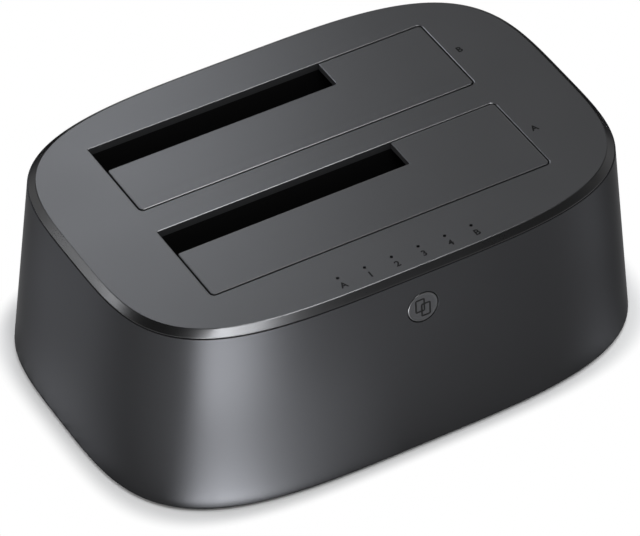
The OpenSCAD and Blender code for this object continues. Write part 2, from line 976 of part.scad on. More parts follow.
module power_jack_body() {
  short = 1.5;
  depth = port_face_y - port_back_y - short;
  color(socket_black)
    at_port(jack_x)
      difference() {
        block([-jack_w / 2, -depth, 0], [jack_w / 2, 0, jack_h]);
        translate([0, past, jack_h / 2])
          rotate([90, 0, 0])
            cylinder(d = jack_bore_d, h = jack_bore_h + past);
      }
}

module power_jack_pin() {
  tip = 0.4;
  sink = 0.8;
  length = jack_bore_h - sink;
  color(steel)
    at_port(jack_x)
      translate([0, -jack_bore_h, jack_h / 2])
        rotate([-90, 0, 0])
          rotate_extrude()
            polygon([
              [0, 0], [jack_pin_d / 2, 0], [jack_pin_d / 2, length - tip],
              [jack_pin_d / 2 - tip, length], [0, length],
            ]);
}

// Power switch: a rim on the recess, a body through the wall and a rocker on two trunnions

rim_w = 1.7;
rocker_l = switch_w - 2 * rim_w;
rocker_w = switch_h - 2 * rim_w;
rocker_gap = 0.3;
rocker_deep = 3.4;
trunnion_d = 1.8;
trunnion_l = 0.7;
switch_deep = 9;
rim_t = 0.8;

module switch_housing() {
  well = [rocker_l + 2 * rocker_gap, rocker_w + 2 * rocker_gap];
  well_room = 1.2;
  body = [switch_w - 2 * rim_lap, switch_h - 2 * rim_lap];
  bearing_l = rocker_w + 2 * trunnion_l + 4 * turn_fit;
  color(socket_black)
    on_rear_wall(switch_x)
      difference() {
        union() {
          translate([-switch_w / 2, -switch_h / 2, 0])
            cube([switch_w, switch_h, rim_t]);
          translate([-body[0] / 2, -body[1] / 2, -switch_deep])
            cube([body[0], body[1], switch_deep + bite]);
        }
        translate([-well[0] / 2, -well[1] / 2, -rocker_drop - rocker_deep - well_room])
          cube([well[0], well[1], rim_t + rocker_drop + rocker_deep + 2 * past]);
        translate([0, 0, -rocker_drop])
          rotate([90, 0, 0])
            cylinder(d = trunnion_d + 2 * turn_fit, h = bearing_l, center = true);
      }
}

module power_rocker() {
  top = rocker_drop + rim_t;
  half = rocker_l / 2;
  dip = 0.5;
  cheek = 1.4;
  keel = [rocker_l / 4, rocker_deep * 0.6];
  color(inner_black)
    on_rear_wall(switch_x)
      translate([0, 0, -rocker_drop])
        rotate([0, rocker_tilt, 0]) {
          translate([0, rocker_w / 2, 0])
            rotate([90, 0, 0])
              linear_extrude(rocker_w)
                polygon([
                  [-half, top - cheek], [-half, top], [0, top - dip], [half, top], [half, top - cheek],
                  [keel[0], -keel[1]], [-keel[0], -keel[1]],
                ]);
          rotate([90, 0, 0])
            cylinder(d = trunnion_d, h = rocker_w + 2 * trunnion_l, center = true);
        }
}

// Front board, lights and copy button

function led_place(i) = (i - (led_count - 1) / 2) * led_pitch;

module button_board() {
  half = front_board_l / 2;
  back = front_board_face - board_t;
  color(board_green)
    on_front_wall()
      difference() {
        block([-half, front_board_low, back], [half, front_board_high, front_board_face]);
        for (x = [-1, 1])
          translate([x * front_post_x, front_post_y, back - past])
            cylinder(d = clear_d, h = board_t + 2 * past);
      }
}

module button_board_screws() {
  back = front_board_face - board_t;
  color(steel)
    on_front_wall()
      for (x = [-1, 1])
        translate([x * front_post_x, front_post_y, back])
          screw(board_t - front_board_face - wall_t - 2 * past);
}

module indicator_leds() {
  lens_d = 1.2;
  color([0.92, 0.93, 0.9])
    on_front_wall()
      for (i = [0 : led_count - 1])
        translate([led_place(i), led_up, front_board_face]) {
          translate([-led_size[0] / 2, -led_size[1] / 2, 0])
            cube(led_size);
          translate([0, led_size[1] / 2 - bite, led_size[2] / 2])
            rotate([-90, 0, 0])
              cylinder(d = lens_d, h = bite + lens_rise);
        }
}

module light_guide() {
  led_top = button_z + (led_up + led_size[1] / 2 + lens_rise) * cos(draft) - led_depth * sin(draft);
  air = 0.3;
  bar_t = 2.4;
  bar_w = 2;
  bar_over = 2.5;
  leg_d = led_d + 0.6;
  dip = 0.1;
  foot_z = led_top + air;
  bar_z = cover_z - bar_t;
  bar_half = led_place(led_count - 1) + bar_over;
  color([0.85, 0.87, 0.88])
    translate([0, led_y, 0]) {
      block([-bar_half, -bar_w / 2, bar_z], [bar_half, bar_w / 2, cover_z]);
      for (i = [0 : led_count - 1])
        translate([led_place(i), 0, 0]) {
          translate([0, 0, foot_z])
            cylinder(d = leg_d, h = bar_z - foot_z + bite);
          translate([0, 0, cover_z - bite])
            cylinder(d = led_d - 2 * turn_fit, h = cover_t + bite - dip);
        }
    }
}

module button_switch() {
  well_d = plunger_d + 2 * turn_fit;
  color(socket_black)
    on_front_wall()
      translate([0, 0, front_board_face])
        difference() {
          translate([-switch_body[0] / 2, -switch_body[1] / 2, 0])
            cube(switch_body);
          translate([0, 0, switch_body[2] - plunger_well])
            cylinder(d = well_d, h = plunger_well + past);
        }
}

module button_plunger() {
  sink = plunger_well - button_travel - slip_fit;
  color([0.85, 0.85, 0.85])
    on_front_wall()
      translate([0, 0, plunger_front - plunger_rise - sink])
        cylinder(d = plunger_d, h = plunger_rise + sink);
}

module copy_button() {
  flange_top = -button_skin - stop_gap;
  color([0.26, 0.26, 0.27])
    on_front_wall() {
      translate([0, 0, flange_top - bite])
        cylinder(d = button_d, h = bite - flange_top);
      translate([0, 0, flange_top - flange_t])
        cylinder(d = button_d + 2 * button_gap + 2 * flange_w, h = flange_t);
      translate([0, 0, plunger_front])
        cylinder(d = stem_d, h = flange_top - plunger_front - bite);
    }
}

// Ribbon cable from the front board down to the main board

ribbon_t = 0.3;
ribbon_bend = 3;
ribbon_end_gap = 0.1;
ribbon_inset = 12;
ribbon_lead = 1.5;
ribbon_x = ribbon_inset - front_board_l / 2;
ribbon_socket_over = 1.5;
ribbon_socket = [ribbon_w + 2 * ribbon_socket_over, 4, 2.2];
ribbon_socket_inset = 0.6;
ribbon_upper = front_board_low + ribbon_socket[1] / 2 + ribbon_socket_inset;
ribbon_y = -wall_y(button_z) + front_board_low * sin(draft)
  - (front_board_face - board_t - ribbon_socket[2] / 2) * cos(draft);
ribbon_top = button_z + (ribbon_upper - ribbon_socket[1] / 2) * cos(draft)
  + (front_board_face - board_t - ribbon_socket[2]) * sin(draft) - ribbon_end_gap;
ribbon_low = board_top + ribbon_socket[2] / 2;
ribbon_end = ribbon_y + ribbon_bend + ribbon_lead;

module ribbon_cable() {
  color([0.85, 0.85, 0.8])
    translate([ribbon_x, 0, 0]) {
      block(
        [-ribbon_w / 2, ribbon_y - ribbon_t / 2, ribbon_low + ribbon_bend],
        [ribbon_w / 2, ribbon_y + ribbon_t / 2, ribbon_top]
      );
      translate([0, ribbon_y + ribbon_bend, ribbon_low + ribbon_bend])
        rotate([90, 180, 90])
          translate([0, 0, -ribbon_w / 2])
            rotate_extrude(angle = 90)
              translate([ribbon_bend - ribbon_t / 2, 0])
                square([ribbon_t, ribbon_w]);
      block(
        [-ribbon_w / 2, ribbon_y + ribbon_bend, ribbon_low - ribbon_t / 2],
        [ribbon_w / 2, ribbon_end, ribbon_low + ribbon_t / 2]
      );
    }
}

module ribbon_sockets() {
  size = ribbon_socket;
  color([0.9, 0.88, 0.82]) {
    translate([ribbon_x - size[0] / 2, ribbon_end, board_top])
      cube(size);
    on_front_wall()
      translate([
        ribbon_x - size[0] / 2,
        ribbon_upper - size[1] / 2,
        front_board_face - board_t - size[2],
      ])
        cube(size);
  }
}

body_shell();
top_cover();
base_plate();
foot(-1, -1);  // foot_front_left
foot(1, -1);  // foot_front_right
foot(-1, 1);  // foot_rear_left
foot(1, 1);  // foot_rear_right
base_screws();
cover_screws();
well_screws();
drive_well(-1);  // front_drive_well
drive_well(1);  // rear_drive_well
flap(-1);  // front_flap
flap(1);  // rear_flap
hinge_pin(-1);  // front_hinge_pin
hinge_pin(1);  // rear_hinge_pin
flap_spring(-1);  // front_flap_spring
flap_spring(1);  // rear_flap_spring
main_board();
main_board_screws();
drive_socket(-1);  // front_drive_socket
drive_socket(1);  // rear_drive_socket
socket_contacts(-1);  // front_socket_contacts
socket_contacts(1);  // rear_socket_contacts
bridge_chip();
support_chips();
power_inductors();
capacitors();
clock_crystal();
data_port_shell();
data_port_core();
data_port_contacts();
power_jack_body();
power_jack_pin();
switch_housing();
power_rocker();
button_board();
button_board_screws();
indicator_leds();
light_guide();
button_switch();
button_plunger();
copy_button();
ribbon_cable();
ribbon_sockets();
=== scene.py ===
"""Looks of a dock for two bare drives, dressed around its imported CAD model.

Shapes are worked out in millimetres in the CAD frame: +X to the right, +Y to the rear, +Z up.
"""

import json
import logging
import math
from dataclasses import dataclass, field
from enum import Enum
from typing import Any, Callable, Mapping, Sequence

import bmesh
import bpy
from mathutils import Matrix, Vector


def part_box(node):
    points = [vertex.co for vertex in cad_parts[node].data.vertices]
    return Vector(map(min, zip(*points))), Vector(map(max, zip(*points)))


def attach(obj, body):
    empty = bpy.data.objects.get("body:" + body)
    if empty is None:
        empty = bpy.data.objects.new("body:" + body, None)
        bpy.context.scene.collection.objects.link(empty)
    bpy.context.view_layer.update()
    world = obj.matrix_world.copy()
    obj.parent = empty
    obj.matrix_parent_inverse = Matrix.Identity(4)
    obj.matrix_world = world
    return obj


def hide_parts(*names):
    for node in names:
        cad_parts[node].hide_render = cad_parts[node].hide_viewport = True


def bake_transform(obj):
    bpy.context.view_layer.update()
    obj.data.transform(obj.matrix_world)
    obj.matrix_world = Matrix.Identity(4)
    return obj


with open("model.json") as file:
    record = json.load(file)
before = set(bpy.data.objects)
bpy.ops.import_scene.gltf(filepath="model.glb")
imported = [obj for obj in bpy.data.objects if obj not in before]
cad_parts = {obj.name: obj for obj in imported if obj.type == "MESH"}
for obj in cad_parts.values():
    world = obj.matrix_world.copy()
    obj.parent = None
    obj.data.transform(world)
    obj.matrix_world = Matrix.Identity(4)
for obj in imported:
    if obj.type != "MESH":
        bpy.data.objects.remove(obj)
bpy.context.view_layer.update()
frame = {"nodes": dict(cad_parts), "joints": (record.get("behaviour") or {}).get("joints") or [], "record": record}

MM = 0.001

logging.basicConfig(level=logging.INFO, format="%(levelname)s %(message)s")
log = logging.getLogger("dock")

Colour = tuple[float, float, float]
Place = tuple[float, float, float]
Flat = tuple[float, float]
Outline = Callable[[float], list[Flat]]


# Shader maths


class Value:
    """One shader value: a socket, on which Python's operators add Math nodes."""

    def __init__(self, sheet: "ShaderSheet", socket: bpy.types.NodeSocket) -> None:
        """Keeps the socket and the sheet that new nodes go on."""
        self.sheet = sheet
        self.socket = socket

    def _math(self, operation: str, first: Any, second: Any = 0.0) -> "Value":
        """Adds one Math node for two numbers or values and gives its result."""
        node = self.sheet.add("ShaderNodeMath", {"operation": operation}, {0: first, 1: second})
        return Value(self.sheet, node.outputs[0])

    def __add__(self, other: Any) -> "Value":
        """Sum with a number or a value."""
        return self._math("ADD", self, other)

    def __radd__(self, other: Any) -> "Value":
        """Sum with a number in front."""
        return self._math("ADD", other, self)

    def __sub__(self, other: Any) -> "Value":
        """This value less a number or a value."""
        return self._math("SUBTRACT", self, other)

    def __rsub__(self, other: Any) -> "Value":
        """A number in front, less this value."""
        return self._math("SUBTRACT", other, self)

    def __mul__(self, other: Any) -> "Value":
        """Product with a number or a value."""
        return self._math("MULTIPLY", self, other)

    def __rmul__(self, other: Any) -> "Value":
        """Product with a number in front."""
        return self._math("MULTIPLY", other, self)

    def sine(self) -> "Value":
        """Sine of this value, which is in radians."""
        return self._math("SINE", self)

    def most(self, other: Any) -> "Value":
        """The larger of this and another."""
        return self._math("MAXIMUM", self, other)

    def rise(self, low: float, high: float) -> "Value":
        """Eases from 0 to 1.

        Args:
            low: Where the rise starts.
            high: Where the rise ends.

        Returns:
            The eased value.
        """
        settings = {"interpolation_type": "SMOOTHSTEP"}
        inputs = {"Value": self, "From Min": low, "From Max": high}
        node = self.sheet.add("ShaderNodeMapRange", settings, inputs)
        return Value(self.sheet, node.outputs["Result"])


class ShaderSheet:
    """The node sheet of one material or of the world."""

    def __init__(self, tree: bpy.types.NodeTree) -> None:
        """Takes over a node tree and empties it."""
        self.tree = tree
        self.tree.nodes.clear()

    def add(
        self,
        kind: str,
        settings: Mapping[str, Any] | None = None,
        inputs: Mapping[Any, Any] | None = None,
    ) -> bpy.types.Node:
        """Adds one node.

        Args:
            kind: Blender's name of the node type.
            settings: The node's own properties, set first.
            inputs: Values or links of its sockets, by name or by place.

        Returns:
            The node.
        """
        node = self.tree.nodes.new(kind)
        for key, value in (settings or {}).items():
            setattr(node, key, value)
        for key, value in (inputs or {}).items():
            if isinstance(value, Value):
                self.tree.links.new(value.socket, node.inputs[key])
            elif isinstance(value, bpy.types.NodeSocket):
                self.tree.links.new(value, node.inputs[key])
            else:
                node.inputs[key].default_value = value
        return node

    def place(self) -> bpy.types.NodeSocket:
        """The point on the piece, in metres, which goes with the piece when it moves."""
        return self.add("ShaderNodeTexCoord").outputs["Object"]

    def along(self, axis: str) -> Value:
        """The point's place along one axis, in millimetres."""
        parts = self.add("ShaderNodeSeparateXYZ", None, {0: self.place()})
        return Value(self, parts.outputs[axis]) * (1 / MM)

    def noise(self, size: float, detail: float = 2.0, stretch: Sequence[float] = (1, 1, 1)) -> Value:
        """Cloudy noise.

        Args:
            size: Size of its blotches, in millimetres.
            detail: How many finer layers lie on top.
            stretch: How many times finer it is along each axis.

        Returns:
            The noise, which is 0.5 on average.
        """
        spread = self.add("ShaderNodeMapping", None, {"Vector": self.place(), "Scale": stretch})
        inputs = {"Vector": spread.outputs["Vector"], "Scale": 1 / (size * MM), "Detail": detail}
        return Value(self, self.add("ShaderNodeTexNoise", None, inputs).outputs["Fac"])

    def stripes(self, along: Value, pitch: float) -> Value:
        """A wave from 0 to 1 along a place, with its pitch in millimetres."""
        return (along * (2 * math.pi / pitch)).sine() * 0.5 + 0.5

    def blend(self, share: Value, low: Colour, high: Colour) -> bpy.types.NodeSocket:
        """Mixes two colours, from the first at a share of 0 to the second at 1."""
        inputs = {0: share, 6: (*low, 1.0), 7: (*high, 1.0)}
        return self.add("ShaderNodeMix", {"data_type": "RGBA"}, inputs).outputs[2]

    def seen(self, first: str, *others: str) -> Value:
        """1 for any of the named kinds of ray.

        Args:
            first: One kind of ray, by the Light Path node's name for it.
            others: More of them.

        Returns:
            The share, 0 or 1.
        """
        path = self.add("ShaderNodeLightPath")
        share = Value(self, path.outputs[f"Is {first} Ray"])
        for kind in others:
            share = share.most(Value(self, path.outputs[f"Is {kind} Ray"]))
        return share

    def bump(self, height: Value, depth: float) -> bpy.types.NodeSocket:
        """Normal of a surface whose height of 1 stands out by a depth in millimetres."""
        inputs = {"Strength": 1.0, "Distance": depth * MM, "Height": height}
        return self.add("ShaderNodeBump", None, inputs).outputs["Normal"]


def shade(colour: Colour, factor: float) -> Colour:
    """A colour made lighter or darker by a factor."""
    return (colour[0] * factor, colour[1] * factor, colour[2] * factor)


# Finishes


@dataclass(frozen=True)
class Finish:
    """Plastic with the fine grain of its mould, and what every finish has."""

    name: str
    colour: Colour
    roughness: float
    specular: float = 0.5
    metallic: float = 0.0
    edge: float = 1.0
    grain: float = 0.25
    grain_depth: float = 0.003
    uneven: float = 0.05
    cloud: float = 30.0
    mottle: Flat = (0.95, 1.05)

    def shades(self) -> tuple[Colour, Colour]:
        """The darkest and the palest of its colour."""
        return shade(self.colour, self.mottle[0]), shade(self.colour, self.mottle[1])

    def dress(self, sheet: ShaderSheet) -> dict[str, Any]:
        """Faint clouds in colour and gloss over the grain.

        Args:
            sheet: Sheet that the nodes go on.

        Returns:
            The shader's inputs that change over the surface.
        """
        cloud = sheet.noise(self.cloud, detail=3.0)
        grain = sheet.noise(self.grain)
        return {
            "Base Color": sheet.blend(cloud, *self.shades()),
            "Roughness": cloud * self.uneven + grain * self.uneven + (self.roughness - self.uneven),
            "Normal": sheet.bump(grain, self.grain_depth),
        }

    def material(self) -> bpy.types.Material:
        """The finish as a material, made once.

        Returns:
            The material, whose sheet is filled by dress.
        """
        made = bpy.data.materials.get(self.name)
        if made is not None:
            return made
        made = bpy.data.materials.new(self.name)
        made.use_nodes = True
        made.diffuse_color = (*self.colour, 1.0)
        sheet = ShaderSheet(made.node_tree)
        even = {
            "Metallic": self.metallic,
            "Specular IOR Level": self.specular,
            "Specular Tint": (self.edge, self.edge, self.edge, 1),
        }
        shader = sheet.add("ShaderNodeBsdfPrincipled", None, {**even, **self.dress(sheet)})
        sheet.add("ShaderNodeOutputMaterial", None, {"Surface": shader.outputs["BSDF"]})
        return made


@dataclass(frozen=True)
class DrawnMetal(Finish):
    """Metal with fine lines along the way that it was drawn or brushed."""

    metallic: float = 1.0
    cloud: float = 4.0
    mottle: Flat = (0.84, 1.1)
    stretch: Place = (0.04, 1.0, 1.0)
    line_share: float = 0.6

    def dress(self, sheet: ShaderSheet) -> dict[str, Any]:
        """Lines in colour, gloss and height, with a faint tarnish.

        Args:
            sheet: Sheet that the nodes go on.

        Returns:
            The shader's inputs that change over the surface.
        """
        lines = sheet.noise(self.grain, stretch=self.stretch)
        tarnish = sheet.noise(self.cloud)
        mixed = lines * self.line_share + tarnish * (1 - self.line_share)
        return {
            "Base Color": sheet.blend(mixed, *self.shades()),
            "Roughness": mixed * (2 * self.uneven) + (self.roughness - self.uneven),
            "Normal": sheet.bump(lines, self.grain_depth),
        }


@dataclass(frozen=True)
class SolderMask(Finish):
    """Board lacquer over copper tracks."""

    cloud: float = 6.0
    mottle: Flat = (1.0, 1.7)
    track_pitch: float = 2.54
    track_edge: Flat = (0.65, 0.75)
    track_height: float = 0.03
    wander: float = 5.0
    wander_size: float = 16.0

    def dress(self, sheet: ShaderSheet) -> dict[str, Any]:
        """Raised tracks that wander along the board, paler than the bare board.

        Args:
            sheet: Sheet that the nodes go on.

        Returns:
            The shader's inputs that change over the surface.
        """
        wander = sheet.noise(self.wander_size, detail=1.0) * self.wander
        wave = sheet.stripes(sheet.along("Y") + wander, self.track_pitch)
        track = wave.rise(*self.track_edge)
        cloud = sheet.noise(self.cloud)
        return {
            "Base Color": sheet.blend(track, *self.shades()),
            "Roughness": cloud * (2 * self.uneven) + (self.roughness - self.uneven),
            "Normal": sheet.bump(track, self.track_height),
        }


@dataclass(frozen=True)
class FlatCable(Finish):
    """Film with its conductors showing through as stripes."""

    mottle: Flat = (0.72, 1.0)
    pitch: float = 1.0
    stripe_edge: Flat = (0.35, 0.65)
    stripe_height: float = 0.04

    def dress(self, sheet: ShaderSheet) -> dict[str, Any]:
        """Stripes across the cable's width.

        Args:
            sheet: Sheet that the nodes go on.

        Returns:
            The shader's inputs that change over the surface.
        """
        stripe = sheet.stripes(sheet.along("X"), self.pitch).rise(*self.stripe_edge)
        return {
            "Base Color": sheet.blend(stripe, *self.shades()),
            "Roughness": stripe * (2 * self.uneven) + (self.roughness - self.uneven),
            "Normal": sheet.bump(stripe, self.stripe_height),
        }


CASE_SATIN = Finish("case_satin", (0.0255, 0.0258, 0.0272), 0.36, 0.0, 0.6, 0.45)
TOP_SATIN = Finish("top_satin", (0.0215, 0.0218, 0.023), 0.38, 0.5)
CASE_POLISH = Finish(
    "case_polish", (0.085, 0.085, 0.0865), 0.28, 0.5, 1.0, 0.15, grain_depth=0.0003, uneven=0.02
)
BUTTON_SATIN = Finish("button_satin", (0.046, 0.0465, 0.0485), 0.36, 0.0, 0.6, 0.6)
# Partly painted shade: the inner plastic is black, and its colour is set near to none at all so that the insides
# of the bays read as deep shade.
INNER_BLACK_AND_SHADE = Finish("inner_black", (0.003, 0.003, 0.0031), 0.7, 0.12, grain=0.4, grain_depth=0.01)
PRINT_DARK = Finish("print_dark", (0.002, 0.002, 0.002), 0.5, 0.1)
FOOT_RUBBER = Finish("foot_rubber", (0.018, 0.018, 0.018), 0.78, 0.3, grain=0.6, grain_depth=0.03)
SOCKET_NYLON = Finish("socket_nylon", (0.012, 0.012, 0.013), 0.5, grain=0.3, grain_depth=0.01)
CHIP_EPOXY = Finish("chip_epoxy", (0.02, 0.02, 0.022), 0.6, 0.4, grain=0.15, grain_depth=0.01)
FERRITE = Finish("ferrite", (0.06, 0.06, 0.064), 0.7, 0.4, grain=0.2, grain_depth=0.02)
LED_RESIN = Finish("led_resin", (0.75, 0.75, 0.7), 0.3, grain_depth=0.001)
GUIDE_SMOKE = Finish("guide_smoke", (0.002, 0.002, 0.0022), 0.2, 0.15, grain_depth=0.0005)
ROCKER_GLOSS = Finish("rocker_gloss", (0.012, 0.012, 0.013), 0.28, grain_depth=0.001)
MARK_PALE = Finish("mark_pale", (0.6, 0.6, 0.6), 0.5, 0.3)
SCREW_ZINC = DrawnMetal("screw_zinc", (0.32, 0.32, 0.34), 0.36, stretch=(1.0, 1.0, 0.05))
WIRE_STEEL = DrawnMetal("wire_steel", (0.55, 0.55, 0.56), 0.3)
PLATED_STEEL = DrawnMetal("plated_steel", (0.7, 0.69, 0.66), 0.24, stretch=(1.0, 0.05, 1.0))
CAN_ALUMINIUM = DrawnMetal("can_aluminium", (0.72, 0.72, 0.74), 0.34, stretch=(1.0, 1.0, 0.05))
CONTACT_GILT = DrawnMetal("contact_gilt", (0.83, 0.6, 0.22), 0.26, stretch=(1.0, 1.0, 0.05))
BOARD_MASK = SolderMask("board_mask", (0.012, 0.07, 0.035), 0.35)
RIBBON_FILM = FlatCable("ribbon_film", (0.72, 0.72, 0.66), 0.4)

FINISH_OF_SLOT: dict[str, Finish] = {
    "case_plastic": CASE_SATIN,
    "inner_plastic": INNER_BLACK_AND_SHADE,
    "foot_rubber": FOOT_RUBBER,
    "screw_steel": SCREW_ZINC,
    "hinge_steel": WIRE_STEEL,
    "board_laminate": BOARD_MASK,
    "socket_plastic": SOCKET_NYLON,
    "contact_gilt": CONTACT_GILT,
    "chip_black": CHIP_EPOXY,
    "ferrite": FERRITE,
    "can_aluminium": CAN_ALUMINIUM,
    "plated_steel": PLATED_STEEL,
    "led_white": LED_RESIN,
    "guide_clear": GUIDE_SMOKE,
    "button_plastic": BUTTON_SATIN,
    "ribbon_white": RIBBON_FILM,
}


# Outlines

ARC_STEP = 15
LEAST_RADIUS = 0.001
ROUND_POINTS = 48
SMALL_ROUND_POINTS = 24


@dataclass(frozen=True)
class Corner:
    """A corner of a flat outline, and the radius that rounds it."""

    x: float
    y: float
    r: float = 0.0


def rounded(corners: Sequence[Corner], grow: float = 0.0, closed: bool = True) -> list[Flat]:
    """Points of an outline with its corners rounded.

    Args:
        corners: Corners in order, with the inside on the left.
        grow: How far the outline moves outwards.
        closed: Whether the last corner joins the first. The ends of an open line stay as they are.

    Returns:
        The outline's points.
    """
    points: list[Flat] = []
    for i, corner in enumerate(corners):
        here = Vector((corner.x, corner.y))
        if not closed and i in (0, len(corners) - 1):
            points.append((here.x, here.y))
            continue
        before = corners[i - 1]
        after = corners[(i + 1) % len(corners)]
        come = (here - Vector((before.x, before.y))).normalized()
        go = (Vector((after.x, after.y)) - here).normalized()
        turn = math.atan2(come.x * go.y - come.y * go.x, come.dot(go))
        side = math.copysign(1, turn)
        radius = max(corner.r + side * grow, LEAST_RADIUS)
        if corner.r == 0:
            out = Vector((come.y + go.y, -come.x - go.x)) / (1 + come.dot(go))
            points.append((here.x + out.x * grow, here.y + out.y * grow))
            continue
        start = here - come * (corner.r * math.tan(abs(turn) / 2))
        centre = start + Vector((-come.y, come.x)) * (corner.r * side)
        first = math.atan2(start.y - centre.y, start.x - centre.x)
        steps = max(1, math.ceil(abs(turn) / math.radians(ARC_STEP)))
        for k in range(steps + 1):
            angle = first + turn * k / steps
            points.append((centre.x + radius * math.cos(angle), centre.y + radius * math.sin(angle)))
    return points


def grown(corners: Sequence[Corner]) -> Outline:
    """A rounded outline as it grows."""
    return lambda grow: rounded(corners, grow)


def rectangle(low: Flat, high: Flat, r: float = 0.0) -> list[Corner]:
    """Corners of a rectangle, counter-clockwise, with one radius."""
    places = (low, (high[0], low[1]), high, (low[0], high[1]))
    return [Corner(x, y, r) for x, y in places]


def centred(size: Flat, r: float = 0.0) -> list[Corner]:
    """Corners of a rectangle round the origin."""
    half = (size[0] / 2, size[1] / 2)
    return rectangle((-half[0], -half[1]), half, r)


def mirrored(corners: Sequence[Corner]) -> list[Corner]:
    """The same outline on the other side of its upright axis, still counter-clockwise."""
    return [Corner(-corner.x, corner.y, corner.r) for corner in reversed(corners)]


def circle(radius: float, count: int = ROUND_POINTS) -> list[Flat]:
    """Points of a circle, counter-clockwise."""
    turns = [2 * math.pi * i / count for i in range(count)]
    return [(radius * math.cos(turn), radius * math.sin(turn)) for turn in turns]


def disc(radius: float, count: int = ROUND_POINTS) -> Outline:
    """A circle as it grows."""
    return lambda grow: circle(radius + grow, count)


def slab(low: float, high: float, edge: float, low_edge: float = 0.1) -> list[Flat]:
    """Side profile of a plate with rounded edges, as growth and height from its underside up."""
    corners = [Corner(-1, low), Corner(0, low, low_edge), Corner(0, high, edge), Corner(-1, high)]
    return rounded(corners, closed=False)[1:-1]


def mouth_profile(low: float, top: float, edge: float, past: float = 1.0) -> list[Flat]:
    """Profile of what an opening takes away, which leaves its upper edge rounded.

    Args:
        low: Height that the cut starts from.
        top: Height of the face that it opens.
        edge: Radius of the rounded edge.
        past: How far the cut runs past the face.

    Returns:
        Growth and height from the bottom up.
    """
    arc = [math.radians(angle) for angle in range(0, 91, ARC_STEP)]
    bend = [(edge - edge * math.cos(a), top - edge + edge * math.sin(a)) for a in arc]
    return [(0, low), *bend, (edge, top + past)]


# Frames for sections that run along X or along Y
SECTION_ALONG_X = Matrix(((0, 0, 1, 0), (1, 0, 0, 0), (0, 1, 0, 0), (0, 0, 0, 1)))
SECTION_ALONG_Y = Matrix(((1, 0, 0, 0), (0, 0, -1, 0), (0, 1, 0, 0), (0, 0, 0, 1)))


# Meshes

WELD = 1e-4


class Ends(Enum):
    """How a row of rings is closed."""

    CAPPED = "a flat face on the first ring and on the last"
    LOOPED = "the last ring joins the first"


class Combine(Enum):
    """Ways to combine two solids."""

    CUT = "DIFFERENCE"
    ADD = "UNION"
    KEEP = "INTERSECT"


def link(name: str, data: bpy.types.ID) -> bpy.types.Object:
    """Puts a mesh, a text, a lamp or a camera into the scene as an object.

    Args:
        name: Name of the object.
        data: What it shows.

    Returns:
        The object.
    """
    made = bpy.data.objects.new(name, data)
    bpy.context.scene.collection.objects.link(made)
    return made


def settled(piece: bpy.types.Object) -> bpy.types.Mesh:
    """The mesh that a piece has after its modifiers."""
    graph = bpy.context.evaluated_depsgraph_get()
    return bpy.data.meshes.new_from_object(piece.evaluated_get(graph), depsgraph=graph)


def discard(piece: bpy.types.Object) -> None:
    """Removes an object and its data.

    Args:
        piece: An object with a mesh or a text.
    """
    data = piece.data
    bpy.data.objects.remove(piece)
    if isinstance(data, bpy.types.Mesh):
        bpy.data.meshes.remove(data)
    else:
        bpy.data.curves.remove(data)


